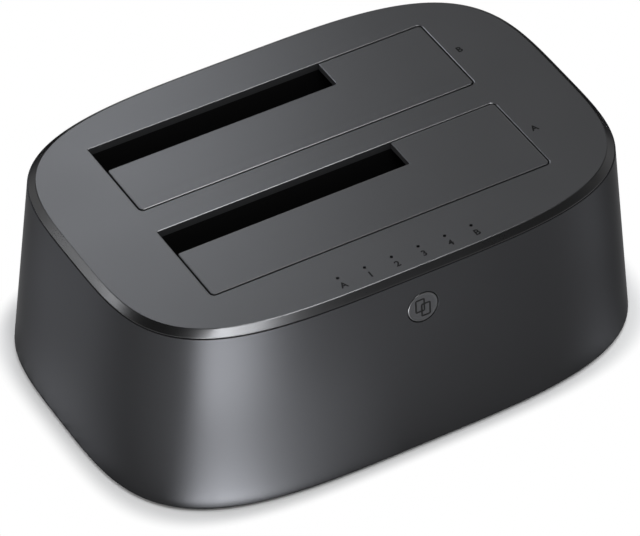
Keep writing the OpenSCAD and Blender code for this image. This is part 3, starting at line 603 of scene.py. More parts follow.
class Moulding:
    """A solid under construction, in millimetres."""

    def __init__(self, name: str) -> None:
        """Starts an empty solid."""
        self.name = name
        self.mesh = bmesh.new()

    def loft(
        self,
        rings: Sequence[Sequence[Vector]],
        ends: Ends = Ends.CAPPED,
        tints: Sequence[int] | None = None,
    ) -> "Moulding":
        """Lays a skin over rings of points.

        Args:
            rings: Rings with equal numbers of points.
            ends: How the row of rings is closed.
            tints: Material place of each band between two rings.

        Returns:
            This solid.
        """
        rows = [[self.mesh.verts.new(point) for point in ring] for ring in rings]
        bands = list(zip(rows, rows[1:]))
        if ends is Ends.LOOPED:
            bands.append((rows[-1], rows[0]))
        else:
            self.mesh.faces.new(list(reversed(rows[0])))
            self.mesh.faces.new(rows[-1])
        for k, (low, high) in enumerate(bands):
            for i in range(len(low)):
                j = (i + 1) % len(low)
                face = self.mesh.faces.new((low[i], low[j], high[j], high[i]))
                face.material_index = tints[k] if tints else 0
        return self

    def stack(
        self,
        outline: Outline,
        profile: Sequence[Flat],
        at: Matrix | None = None,
        ends: Ends = Ends.CAPPED,
        tints: Sequence[int] | None = None,
    ) -> "Moulding":
        """Lays a skin over one outline that grows and shrinks with height.

        Args:
            outline: Gives the outline's points for a growth.
            profile: Growth and height of each ring.
            at: Frame that the solid stands in.
            ends: How the row of rings is closed.
            tints: Material place of each band between two rings.

        Returns:
            This solid.
        """
        stand = at or Matrix()
        rings = [[stand @ Vector((x, y, z)) for x, y in outline(grow)] for grow, z in profile]
        return self.loft(rings, ends, tints)

    def bar(
        self, corners: Sequence[Corner], low: float, high: float, at: Matrix | None = None
    ) -> "Moulding":
        """Adds a straight bar of one section, with faintly rounded ends."""
        edge = 0.12
        return self.stack(grown(corners), slab(low, high, edge, edge), at)

    def rod(
        self, radius: float, low: float, high: float, at: Matrix, count: int = ROUND_POINTS
    ) -> "Moulding":
        """Adds a round rod with square ends."""
        return self.stack(disc(radius, count), [(0, low), (0, high)], at)

    def _as_object(self) -> bpy.types.Object:
        """The solid as it is now, as an object for a modifier.

        Returns:
            The object, which has to be discarded.
        """
        bmesh.ops.recalc_face_normals(self.mesh, faces=self.mesh.faces)
        data = bpy.data.meshes.new(self.name)
        self.mesh.to_mesh(data)
        return link(self.name + ".rough", data)

    def combine(self, how: Combine, tool: "Moulding") -> "Moulding":
        """Cuts, joins or keeps what it shares with another solid.

        Args:
            how: Which of the three.
            tool: The other solid, which is used up.

        Returns:
            This solid.
        """
        target = self._as_object()
        cutter = tool._as_object()
        modifier = target.modifiers.new("combine", "BOOLEAN")
        modifier.operation = how.value
        modifier.solver = "EXACT"
        modifier.object = cutter
        result = settled(target)
        self.mesh.clear()
        self.mesh.from_mesh(result)
        bmesh.ops.remove_doubles(self.mesh, verts=self.mesh.verts, dist=WELD)
        bpy.data.meshes.remove(result)
        discard(target)
        discard(cutter)
        tool.mesh.free()
        return self

    def piece(self, finishes: Sequence[Finish], crease: float = 32.0) -> bpy.types.Object:
        """Makes the finished object, in metres, shaded smoothly up to its creases.

        Args:
            finishes: Its finishes, by material place.
            crease: Angle above which an edge stays sharp, in degrees.

        Returns:
            The object.
        """
        bmesh.ops.recalc_face_normals(self.mesh, faces=self.mesh.faces)
        bmesh.ops.scale(self.mesh, vec=(MM, MM, MM), verts=self.mesh.verts)
        data = bpy.data.meshes.new(self.name)
        self.mesh.to_mesh(data)
        self.mesh.free()
        data.polygons.foreach_set("use_smooth", [True] * len(data.polygons))
        data.set_sharp_from_angle(angle=math.radians(crease))
        made = link(self.name, data)
        evened = made.modifiers.new("even_shading", "WEIGHTED_NORMAL")
        evened.keep_sharp = True
        result = settled(made)
        made.modifiers.clear()
        made.data = result
        bpy.data.meshes.remove(data)
        result.name = self.name
        for finish in finishes:
            result.materials.append(finish.material())
        return made


def fit(piece: bpy.types.Object, body: str, slot: str, *nodes: str) -> bpy.types.Object:
    """Seats a piece on its CAD body.

    Args:
        piece: The piece, in its place.
        body: Body that it moves with.
        slot: Material slot of the record; not used.
        nodes: CAD nodes that it stands for.

    Returns:
        The piece.
    """
    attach(piece, body)
    if nodes:
        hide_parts(*nodes)
    log.info("%s rides on %s, %d faces", piece.name, body, len(piece.data.polygons))
    return piece


# Sizes that several pieces share


class Bay(Enum):
    """The two drive bays."""

    FRONT = -1
    REAR = 1

    @property
    def label(self) -> str:
        """Name of the bay in node names."""
        return self.name.lower()


class Wall(Enum):
    """The walls that carry controls, by the side that they face."""

    FRONT = -1
    REAR = 1


EDGE_WIDTH = 2.1


@dataclass(frozen=True)
class DockPlan:
    """Plan and profile of the case, in millimetres."""

    bay_length: float = 103.5
    bay_width: float = 29.1
    bay_between: float = 9.0
    bay_corner: float = 1.5
    bay_slot_corner: float = 0.3
    slot_length: float = 70.9
    slot_width: float = 10.2
    front_margin: float = 16.7
    rear_margin: float = 13.5
    edge_width: float = EDGE_WIDTH
    edge_height: float = 1.7
    cover_thickness: float = 2.4
    wall_thickness: float = 2.2
    slip: float = 0.2
    draft: float = math.radians(5.4)
    power: float = 3.75
    fade: float = 0.02
    around: int = 288
    button_height: float = 46.5
    button_hole: float = 9.5
    pinhole: float = 1.0
    pinhole_pitch: float = 8.1
    pinhole_count: int = 6
    pinhole_inset: float = 6.5
    bevel_width: float = 0.2
    bevel_drop: float = 0.075
    bevel_crease: float = 18.0
    recess: float = 0.8
    port_height: float = 14.3
    switch_x: float = -20.0
    screw_inset: float = 17.0
    pin_bore: float = 1.6
    top: float = field(default_factory=lambda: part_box("top_cover")[1].z / MM)
    half_length: float = field(default_factory=lambda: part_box("top_cover")[1].x / MM - EDGE_WIDTH)
    half_depth: float = field(default_factory=lambda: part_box("top_cover")[1].y / MM - EDGE_WIDTH)

    @property
    def seam(self) -> float:
        """Height where the bright edge ends."""
        return self.top - self.edge_height

    @property
    def underside(self) -> float:
        """Height of the cover's underside."""
        return self.top - self.cover_thickness

    def outline(self, grow: float) -> list[Flat]:
        """The rounded plan, by one power law that gets a little rounder further out.

        Args:
            grow: How far it lies beyond the top face.

        Returns:
            The plan's points.
        """
        power = self.power - self.fade * grow
        points: list[Flat] = []
        for i in range(self.around):
            turn = 2 * math.pi * i / self.around
            u = abs(math.cos(turn)) / (self.half_length + grow)
            v = abs(math.sin(turn)) / (self.half_depth + grow)
            reach = (u**power + v**power) ** (-1 / power)
            points.append((reach * math.cos(turn), reach * math.sin(turn)))
        return points

    def flare(self, z: float) -> float:
        """How far the wall stands out beyond the top face at a height."""
        return self.edge_width + math.tan(self.draft) * (self.seam - z)

    def on_wall(self, wall: Wall, x: float, z: float) -> Matrix:
        """A frame on a wall.

        Args:
            wall: Front or rear wall.
            x: Place along the wall.
            z: Height of its origin.

        Returns:
            Frame with Y up the wall and Z out of it.
        """
        out = Vector((0, wall.value * math.cos(self.draft), math.sin(self.draft)))
        up = Vector((0, -wall.value * math.sin(self.draft), math.cos(self.draft)))
        side = up.cross(out)
        place = Vector((x, wall.value * (self.half_depth + self.flare(z)), z))
        turned = Matrix((side, up, out)).transposed().to_4x4()
        return Matrix.Translation(place) @ turned

    def button_frame(self) -> Matrix:
        """Frame on the front wall at the button's middle."""
        return self.on_wall(Wall.FRONT, 0, self.button_height)

    def pinholes(self) -> list[Flat]:
        """Places of the pinholes.

        Returns:
            The places, from left to right.
        """
        y = -self.half_depth + self.pinhole_inset
        middle = (self.pinhole_count - 1) / 2
        return [((i - middle) * self.pinhole_pitch, y) for i in range(self.pinhole_count)]

    def bay_front(self, bay: Bay) -> float:
        """Front edge of a bay's opening."""
        middle = (self.front_margin - self.rear_margin) / 2
        return middle + bay.value * (self.bay_width + self.bay_between) / 2 - self.bay_width / 2

    def bay_middle(self, bay: Bay) -> float:
        """Middle of a bay's opening, from front to rear."""
        return self.bay_front(bay) + self.bay_width / 2

    def bay_rear(self, bay: Bay) -> float:
        """Rear edge of a bay's opening."""
        return self.bay_front(bay) + self.bay_width

    def bay_corners(self, bay: Bay) -> list[Corner]:
        """Outline of a bay's opening, square at the end of its small slot.

        Args:
            bay: Which bay.

        Returns:
            Its corners, counter-clockwise.
        """
        low = (-self.bay_length / 2, self.bay_front(bay))
        high = (self.bay_length / 2, self.bay_rear(bay))
        corners = rectangle(low, high, self.bay_corner)
        return [*corners[:3], Corner(low[0], high[1], self.bay_slot_corner)]

    def hinge(self, bay: Bay) -> Vector:
        """A point on a flap's hinge axis.

        Args:
            bay: Which bay's flap.

        Returns:
            The point, from the joint of the frame.
        """
        name = bay.label + "_flap_hinge"
        joint = next(j for j in frame["joints"] if j["name"] == name)
        return Vector(joint["pos_m"]) / MM

    def hinge_frame(self, bay: Bay) -> Matrix:
        """Frame whose section turns round a flap's hinge axis."""
        hinge = self.hinge(bay)
        return Matrix.Translation((0, hinge.y, hinge.z)) @ SECTION_ALONG_X

    def pin_holes(self, *bays: Bay) -> Moulding:
        """What the hinge pins of some flaps take away.

        Args:
            bays: Whose flaps.

        Returns:
            What is cut.
        """
        reach = self.bay_length / 2
        holes = Moulding("pin_holes")
        for bay in bays:
            holes.rod(self.pin_bore / 2, -reach, reach, self.hinge_frame(bay), SMALL_ROUND_POINTS)
        return holes


# Case


@dataclass
class BodyShell:
    """The flared outer wall with its button hole, rear recess and inner bosses."""

    plan: DockPlan
    floor_gap: float = 1.2
    seam_gap: float = 0.12
    foot_round: float = 0.25
    inner_round: float = 0.2
    lip_round: float = 0.1
    hole_round: float = 0.1
    hole_depth: float = 3.0
    recess_low: Flat = (-31.0, -7.2)
    recess_high: Flat = (30.5, 6.8)
    recess_corner: float = 1.6
    port_back: float = 37.6
    port_spans: tuple[tuple[Flat, Flat], ...] = (
        ((15.8, 7.8), (28.2, 19.0)),
        ((-2.7, 7.8), (6.7, 19.2)),
    )
    port_corner: float = 0.3
    switch_hole: Flat = (13.4, 8.8)
    switch_depth: float = 4.0
    beyond: float = 1.2
    shelf_height: float = 46.1
    shelf_thickness: float = 3.0
    shelf_half: float = 3.2
    shelf_gap: float = 5.2
    shelf_corner: float = 0.3
    boss_diameter: float = 7.2
    boss_height: float = 14.0
    boss_y: float = 20.0
    boss_floor: float = 3.2

    def wall(self) -> Moulding:
        """The wall alone, as one closed band.

        Returns:
            The wall.
        """
        plan = self.plan
        low = self.floor_gap
        high = plan.seam - self.seam_gap
        thick = plan.wall_thickness
        corners = [
            Corner(plan.flare(low) - thick, low, self.inner_round),
            Corner(plan.flare(low), low, self.foot_round),
            Corner(plan.flare(high), high, self.lip_round),
            Corner(plan.flare(high) - thick, high, self.lip_round),
        ]
        return Moulding("body_shell_skin").stack(plan.outline, rounded(corners), ends=Ends.LOOPED)

    def bosses(self) -> Moulding:
        """Shelves and screw bosses, cut off inside the wall's thickness.

        Returns:
            What is joined to the wall.
        """
        plan = self.plan
        shelf_x = plan.bay_length / 2 + self.shelf_gap
        shelf_y = plan.half_depth - plan.screw_inset
        half = self.shelf_half
        r = self.boss_diameter / 2
        inside = plan.flare(self.boss_floor) - plan.wall_thickness
        boss_x = plan.half_length + inside - self.boss_diameter - r
        reach = plan.half_length * self.beyond
        low = self.shelf_height
        inner = Moulding("bosses")
        for y in (-shelf_y, shelf_y):
            shelf = rectangle((shelf_x, y - half), (reach, y + half), self.shelf_corner)
            for corners in (shelf, mirrored(shelf)):
                inner.bar(corners, low, low + self.shelf_thickness)
        for y in (-self.boss_y, self.boss_y):
            boss = [
                Corner(boss_x, y - r, r),
                Corner(reach, y - r),
                Corner(reach, y + r),
                Corner(boss_x, y + r, r),
            ]
            for corners in (boss, mirrored(boss)):
                inner.bar(corners, self.boss_floor, self.boss_floor + self.boss_height)
        middle = [(plan.flare(z) - plan.wall_thickness / 2, z) for z in (self.floor_gap, plan.seam)]
        return inner.combine(Combine.KEEP, Moulding("core").stack(plan.outline, middle))

    def button_hole(self) -> Moulding:
        """What the button's hole takes away."""
        profile = mouth_profile(-self.hole_depth, 0, self.hole_round, self.hole_depth)
        return Moulding("hole").stack(disc(self.plan.button_hole / 2), profile, self.plan.button_frame())

    def recess(self) -> Moulding:
        """What the recess round the ports takes away.

        Returns:
            What is cut.
        """
        corners = rectangle(self.recess_low, self.recess_high, self.recess_corner)
        profile = mouth_profile(-self.plan.recess, 0, self.hole_round)
        at = self.plan.on_wall(Wall.REAR, 0, self.plan.port_height)
        return Moulding("recess").stack(grown(corners), profile, at)

    def port_holes(self) -> Moulding:
        """What the ports and the switch take away from the recess's floor.

        Returns:
            What is cut.
        """
        plan = self.plan
        holes = Moulding("port_holes")
        far = -plan.half_depth * self.beyond
        for low, high in self.port_spans:
            holes.bar(rectangle(low, high, self.port_corner), far, -self.port_back, SECTION_ALONG_Y)
        corners = centred(self.switch_hole, self.port_corner)
        at = plan.on_wall(Wall.REAR, plan.switch_x, plan.port_height)
        return holes.bar(corners, -self.switch_depth, self.switch_depth, at)

    def build(self) -> bpy.types.Object:
        """Makes the shell.

        Returns:
            The shell.
        """
        shell = self.wall()
        shell.combine(Combine.ADD, self.bosses())
        for cut in (self.button_hole(), self.recess(), self.port_holes()):
            shell.combine(Combine.CUT, cut)
        return fit(shell.piece([CASE_SATIN]), "case", "case_plastic", "body_shell")


@dataclass
class TopCover:
    """The flat top with its bright edge, openings, pinholes, hinge lugs and screw posts."""

    plan: DockPlan
    lip_thickness: float = 1.6
    lip_height: float = 2.6
    facet_out: float = 0.11
    facet_in: float = 0.13
    seam_round: float = 0.15
    lug_radius: float = 1.9
    lug_thickness: float = 3.0
    lug_places: tuple[float, ...] = (4.7, 30.6, 43.4)
    post_diameter: float = 6.4
    post_length: float = 7.0
    post_x: float = 60.15
    ear_x: float = 57.55
    bite: float = 0.5
    cut_past: float = 1.0
    pinhole_round: float = 0.06

    def plate(self) -> Moulding:
        """The cover before anything is cut or joined.

        Returns:
            The cover with its lip and its polished edge.
        """
        plan = self.plan
        lip = plan.edge_width - plan.wall_thickness - plan.slip
        lip_end = plan.underside - self.lip_height
        facet_drop = self.facet_out * plan.edge_height / plan.edge_width
        corners = [
            Corner(lip - self.lip_thickness, plan.underside),
            Corner(lip - self.lip_thickness, lip_end),
            Corner(lip, lip_end),
            Corner(lip, plan.seam),
            Corner(plan.edge_width, plan.seam, self.seam_round),
            Corner(self.facet_out, plan.top - facet_drop),
            Corner(-self.facet_in, plan.top),
            Corner(-plan.edge_width, plan.top),
        ]
        profile = rounded(corners, closed=False)[:-1]
        bands = zip(profile, profile[1:])
        tints = [1 if low[1] + high[1] > 2 * plan.seam else 0 for low, high in bands]
        return Moulding("top_cover_skin").stack(plan.outline, profile, tints=tints)

    def fittings(self) -> Moulding:
        """Hinge lugs and screw posts under the cover.

        Returns:
            What is joined to the cover.
        """
        plan = self.plan
        root = plan.underside + self.bite
        made = Moulding("fittings")
        r = self.lug_radius
        half = self.lug_thickness / 2
        for bay in Bay:
            rise = root - plan.hinge(bay).z
            lug = [Corner(-r, -r, r), Corner(r, -r, r), Corner(r, rise), Corner(-r, rise)]
            for place in self.lug_places:
                for x in (-place, place):
                    made.bar(lug, x - half, x + half, plan.hinge_frame(bay))
        post_y = plan.half_depth - plan.screw_inset
        rows = [(self.post_x, -post_y), (self.post_x, post_y)]
        rows += [(self.ear_x, plan.bay_middle(bay)) for bay in Bay]
        low = root - self.bite - self.post_length
        for x, y in rows:
            for side in (-x, x):
                made.rod(self.post_diameter / 2, low, root, Matrix.Translation((side, y, 0)))
        return made

    def mouth(self, bay: Bay) -> Moulding:
        """What a bay's opening takes away.

        Args:
            bay: Which bay.

        Returns:
            What is cut.
        """
        plan = self.plan
        profile = [
            (0, plan.underside - self.cut_past),
            (0, plan.top - plan.bevel_drop),
            (plan.bevel_width, plan.top),
            (plan.bevel_width, plan.top + self.cut_past),
        ]
        return Moulding("mouth").stack(grown(plan.bay_corners(bay)), profile, tints=(0, 1, 0))

    def pinholes(self) -> Moulding:
        """What the pinholes take away.

        Returns:
            What is cut.
        """
        plan = self.plan
        holes = Moulding("pinholes")
        profile = mouth_profile(plan.underside - self.cut_past, plan.top, self.pinhole_round)
        outline = disc(plan.pinhole / 2, SMALL_ROUND_POINTS)
        for x, y in plan.pinholes():
            holes.stack(outline, profile, Matrix.Translation((x, y, 0)))
        return holes

    def build(self) -> bpy.types.Object:
        """Makes the cover.

        Returns:
            The cover.
        """
        cover = self.plate()
        cover.combine(Combine.ADD, self.fittings())
        for bay in Bay:
            cover.combine(Combine.CUT, self.mouth(bay))
        cover.combine(Combine.CUT, self.pinholes())
        cover.combine(Combine.CUT, self.plan.pin_holes(*Bay))
        made = cover.piece([TOP_SATIN, CASE_POLISH], self.plan.bevel_crease)
        return fit(made, "case", "case_plastic", "top_cover")


# Flaps


@dataclass
class Flap:
    """One L-shaped flap with its knuckles, arms and stops."""

    plan: DockPlan
    bay: Bay
    thickness: float = 2.0
    gap: float = 0.45
    slot_corner: float = 0.35
    tip_share: float = 0.7
    low_bevel: float = 0.1
    knuckle_radius: float = 1.6
    knuckle_length: float = 9.0
    knuckle_x: float = 37.0
    knuckle_bevel: float = 0.15
    arm_thickness: float = 1.8
    arm_near: float = 2.65
    arm_far: float = 5.45
    arm_near_round: float = 0.4
    arm_far_round: float = 0.6
    stop_near: float = 5.0
    stop_far: float = 8.0
    stop_root: float = 3.0
    stop_reach: float = 1.0
    stop_thickness: float = 1.2
    stop_round: float = 0.3
    stop_top_round: float = 0.2
    stop_gap: float = 0.15
    bite: float = 0.5

    def corners(self) -> list[Corner]:
        """Outline of the plate.

        Returns:
            Its corners, counter-clockwise from the front left one.
        """
        plan = self.plan
        left = -plan.bay_length / 2 + self.gap
        right = plan.bay_length / 2 - self.gap
        front = plan.bay_front(self.bay) + self.gap
        rear = plan.bay_rear(self.bay) - self.gap
        step_x = plan.slot_length - plan.bay_length / 2
        step_y = plan.bay_rear(self.bay) - plan.slot_width
        r = plan.bay_corner - self.gap
        return [
            Corner(left, front, r),
            Corner(right, front, r),
            Corner(right, rear, r),
            Corner(step_x, rear, self.slot_corner),
            Corner(step_x, step_y, self.slot_corner),
            Corner(left, step_y, r * self.tip_share),
        ]

    def knuckles(self) -> Moulding:
        """The two round knuckles on the hinge axis.

        Returns:
            What is joined to the plate.
        """
        made = Moulding("knuckles")
        half = self.knuckle_length / 2
        bevel = self.knuckle_bevel
        profile = [(-bevel, -half), (0, -half + bevel), (0, half - bevel), (-bevel, half)]
        for x in (-self.knuckle_x, self.knuckle_x):
            along = [(grow, x + place) for grow, place in profile]
            made.stack(disc(self.knuckle_radius), along, self.plan.hinge_frame(self.bay))
        return made

    def arms(self) -> Moulding:
        """The arms that hang the plate from its knuckles.

        Returns:
            What is joined to the plate.
        """
        made = Moulding("arms")
        half = self.arm_thickness / 2
        root = self.plan.top - self.thickness + self.bite - self.plan.hinge(self.bay).z
        arm = [
            Corner(0, -half),
            Corner(self.arm_far, -half, self.arm_far_round),
            Corner(self.arm_far, root),
            Corner(self.arm_near, root),
            Corner(self.arm_near, half, self.arm_near_round),
            Corner(0, half),
        ]
        reach = self.knuckle_length / 2
        for x in (-self.knuckle_x, self.knuckle_x):
            made.bar(arm, x - reach, x + reach, self.plan.hinge_frame(self.bay))
        return made

    def stops(self) -> Moulding:
        """The tabs that catch under the cover and hold the flap flush.

        Returns:
            What is joined to the plate.
        """
        made = Moulding("stops")
        plan = self.plan
        outer = plan.bay_length / 2 + self.stop_reach
        edge = plan.bay_length / 2 - self.gap
        inner = edge - self.stop_root
        top = plan.underside - self.stop_gap
        low = top - self.stop_thickness
        root = plan.top - self.thickness + self.bite
        stop = [
            Corner(inner, low, self.stop_round),
            Corner(outer, low, self.stop_round),
            Corner(outer, top, self.stop_top_round),
            Corner(edge, top, self.stop_top_round),
            Corner(edge, root),
            Corner(inner, root),
        ]
        hinge = plan.hinge(self.bay).y
        for corners in (stop, mirrored(stop)):
            made.bar(corners, -hinge - self.stop_far, -hinge - self.stop_near, SECTION_ALONG_Y)
        return made

    def build(self) -> bpy.types.Object:
        """Makes the flap.

        Returns:
            The flap.
        """
        plan = self.plan
        low = plan.top - self.thickness
        profile = [
            (-self.low_bevel, low),
            (0, low + self.low_bevel),
            (0, plan.top - plan.bevel_drop),
            (-plan.bevel_width, plan.top),
        ]
        flap = Moulding(self.bay.label + "_flap_skin")
        # Painted highlight: the two flaps are the same part, but only the rear flap's bevel gets the polished
        # finish, which lights it as a bright edge line; the front flap's bevel stays satin, so its line stays
        # dark.
        bevel_highlight_tint = 1 if self.bay is Bay.REAR else 0
        flap.stack(grown(self.corners()), profile, tints=(0, 0, bevel_highlight_tint))
        for joined in (self.knuckles(), self.arms(), self.stops()):
            flap.combine(Combine.ADD, joined)
        flap.combine(Combine.CUT, plan.pin_holes(self.bay))
        node = self.bay.label + "_flap"
        return fit(flap.piece([TOP_SATIN, CASE_POLISH], plan.bevel_crease), node, "case_plastic", node)


@dataclass
class FlapSpring:
    """The wire spring wound round one hinge pin."""

    plan: DockPlan
    bay: Bay
    radius: float = 1.45
    wire: float = 0.4
    turns: int = 6
    pitch: float = 0.9
    steps: int = 32
    sides: int = 10
    cover_leg: float = 4.0
    flap_leg: float = 6.5
    tip_length: float = 0.12
    tip_share: float = 0.4
    crease: float = 60.0

    def build(self) -> bpy.types.Object:
        """Winds the spring.

        Returns:
            The spring.
        """
        hinge = self.plan.hinge(self.bay)
        up = Vector((0, 0, 1))
        stations: list[tuple[Vector, Vector, float]] = []
        for i in range(self.turns * self.steps + 1):
            turn = i / self.steps
            angle = math.pi / 2 - 2 * math.pi * turn
            out = Vector((0, math.cos(angle), math.sin(angle)))
            along = Vector((self.pitch * (turn - self.turns / 2), 0, 0))
            stations.append((along + out * self.radius, out, 1.0))
        first = stations[0][0]
        last = stations[-1][0]
        tips = ((0, self.tip_share), (self.tip_length, 1.0))
        start = [(first - Vector((0, self.cover_leg - t, 0)), up, s) for t, s in tips]
        end = [(last + Vector((0, self.flap_leg - t, 0)), up, s) for t, s in reversed(tips)]
        rings: list[list[Vector]] = []
        for middle, out, share in [*start, *stations, *end]:
            round_wire = circle(self.wire / 2 * share, self.sides)
            rings.append([hinge + middle + out * x + Vector((y, 0, 0)) for x, y in round_wire])
        node = self.bay.label + "_flap_spring"
        made = Moulding(node + "_wire").loft(rings).piece([WIRE_STEEL], self.crease)
        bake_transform(made)
        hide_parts(node)
        log.info("%s twists with its flap, %d faces", made.name, len(made.data.polygons))
        return made


# Front


@dataclass
class CopyButton:
    """The round button with a faint dish and its icon of two overlapping sheets."""

    plan: DockPlan
    radius: float = 4.5
    rim_round: float = 0.24
    rim_width: float = 0.42
    dish: float = 0.08
    flange_radius: float = 6.05
    flange_top: float = -2.34
    flange_thickness: float = 1.2
    stem_radius: float = 1.6
    stem_end: float = -5.54
    pole: float = 0.1
    soft: float = 0.2
    dish_slope: float = 0.25
    points: int = 96
    sheet_size: Flat = (2.5, 3.75)
    sheet_shift: Flat = (0.86, -0.82)
    sheet_step: float = 0.004
    icon_drop: float = 0.15
    sheet_corner: float = 0.3
    stroke: float = 0.5
    print_rise: float = 0.03

    def build(self) -> bpy.types.Object:
        """Makes the button and prints its icon.

        Returns:
            The button's cap.
        """
        at = self.plan.button_frame()
        inner = self.radius - self.rim_width
        low = self.flange_top - self.flange_thickness
        corners = [
            Corner(self.pole, self.stem_end),
            Corner(self.stem_radius, self.stem_end, self.soft),
            Corner(self.stem_radius, low),
            Corner(self.flange_radius, low, self.soft),
            Corner(self.flange_radius, self.flange_top, self.soft),
            Corner(self.radius, self.flange_top),
            Corner(self.radius, 0, self.rim_round),
            Corner(inner, 0, self.soft),
            Corner(inner - self.dish_slope, -self.dish, self.soft),
            Corner(self.pole, -self.dish),
        ]
        profile = rounded(corners, closed=False)
        middles = [((a[0] + b[0]) / 2, (a[1] + b[1]) / 2) for a, b in zip(profile, profile[1:])]
        rim = self.radius - self.rim_round
        tints = [1 if r > rim and z > -self.rim_round else 0 for r, z in middles]
        body = Moulding("copy_button_cap").stack(disc(0, self.points), profile, at, tints=tints)
        finishes = [BUTTON_SATIN, CASE_POLISH]
        cap = fit(body.piece(finishes), "copy_button", "button_plastic", "copy_button")
        self.icon(at)
        return cap

    def icon(self, at: Matrix) -> bpy.types.Object:
        """Prints the icon on the button's face.

        Args:
            at: Frame on the wall at the button's middle.

        Returns:
            The print.
        """
        sheet = grown(centred(self.sheet_size, self.sheet_corner))
        edge = self.stroke / 2
        low = -self.dish - self.print_rise
        made = Moulding("copy_icon")
        for side in (-1, 1):
            high = -self.dish + self.print_rise + side * self.sheet_step
            profile = [(edge, low), (edge, high), (-edge, high), (-edge, low)]
            place = (side * self.sheet_shift[0], side * self.sheet_shift[1] - self.icon_drop, 0)
            made.stack(sheet, profile, at @ Matrix.Translation(place), Ends.LOOPED)
        return fit(made.piece([PRINT_DARK]), "copy_button", "button_plastic")


@dataclass
class Legends:
    """The small printed letters on the top."""

    plan: DockPlan
    light_marks: str = "A1234B"
    light_gap: float = 3.05
    bay_x: float = 55.4
    capital: float = 2.15
    bold: float = 0.03
    bend_steps: int = 8
    weld: float = 1e-5
    ink: float = 0.012

    def letter(self, name: str, mark: str, x: float, y: float) -> bpy.types.Object:
        """Prints one letter.

        Args:
            name: Name of the piece.
            mark: The letter.
            x: Its middle, from left to right.
            y: Its middle, from front to rear.

        Returns:
            The print.
        """
        curve = bpy.data.curves.new(name, "FONT")
        curve.body = mark
        curve.resolution_u = self.bend_steps
        curve.offset = self.bold
        rough = link(name + ".rough", curve)
        flat = settled(rough)
        discard(rough)
        low = [min(v.co[i] for v in flat.vertices) for i in (0, 1)]
        high = [max(v.co[i] for v in flat.vertices) for i in (0, 1)]
        scale = self.capital / (high[1] - low[1])
        solid = Moulding(name)
        mesh = solid.mesh
        mesh.from_mesh(flat)
        bpy.data.meshes.remove(flat)
        bmesh.ops.remove_doubles(mesh, verts=mesh.verts, dist=self.weld)
        centre = Vector(((low[0] + high[0]) / 2, (low[1] + high[1]) / 2, 0))
        place = Matrix.Translation((x, y, self.plan.top - self.ink)) @ Matrix.Scale(scale, 4)
        bmesh.ops.transform(mesh, matrix=place @ Matrix.Translation(-centre), verts=mesh.verts)
        raised = bmesh.ops.extrude_face_region(mesh, geom=list(mesh.faces))
        lifted = [part for part in raised["geom"] if isinstance(part, bmesh.types.BMVert)]
        bmesh.ops.translate(mesh, vec=(0, 0, 2 * self.ink), verts=lifted)
        return fit(solid.piece([PRINT_DARK]), "case", "case_plastic")

    def build(self) -> None:
        """Prints the marks of the lights and of the bays."""
        for mark, (x, y) in zip(self.light_marks, self.plan.pinholes()):
            self.letter("light_mark_" + mark.lower(), mark, x, y - self.light_gap)
        for bay, mark in ((Bay.FRONT, "A"), (Bay.REAR, "B")):
            self.letter(bay.label + "_bay_mark", mark, self.bay_x, self.plan.bay_middle(bay))


# Rear


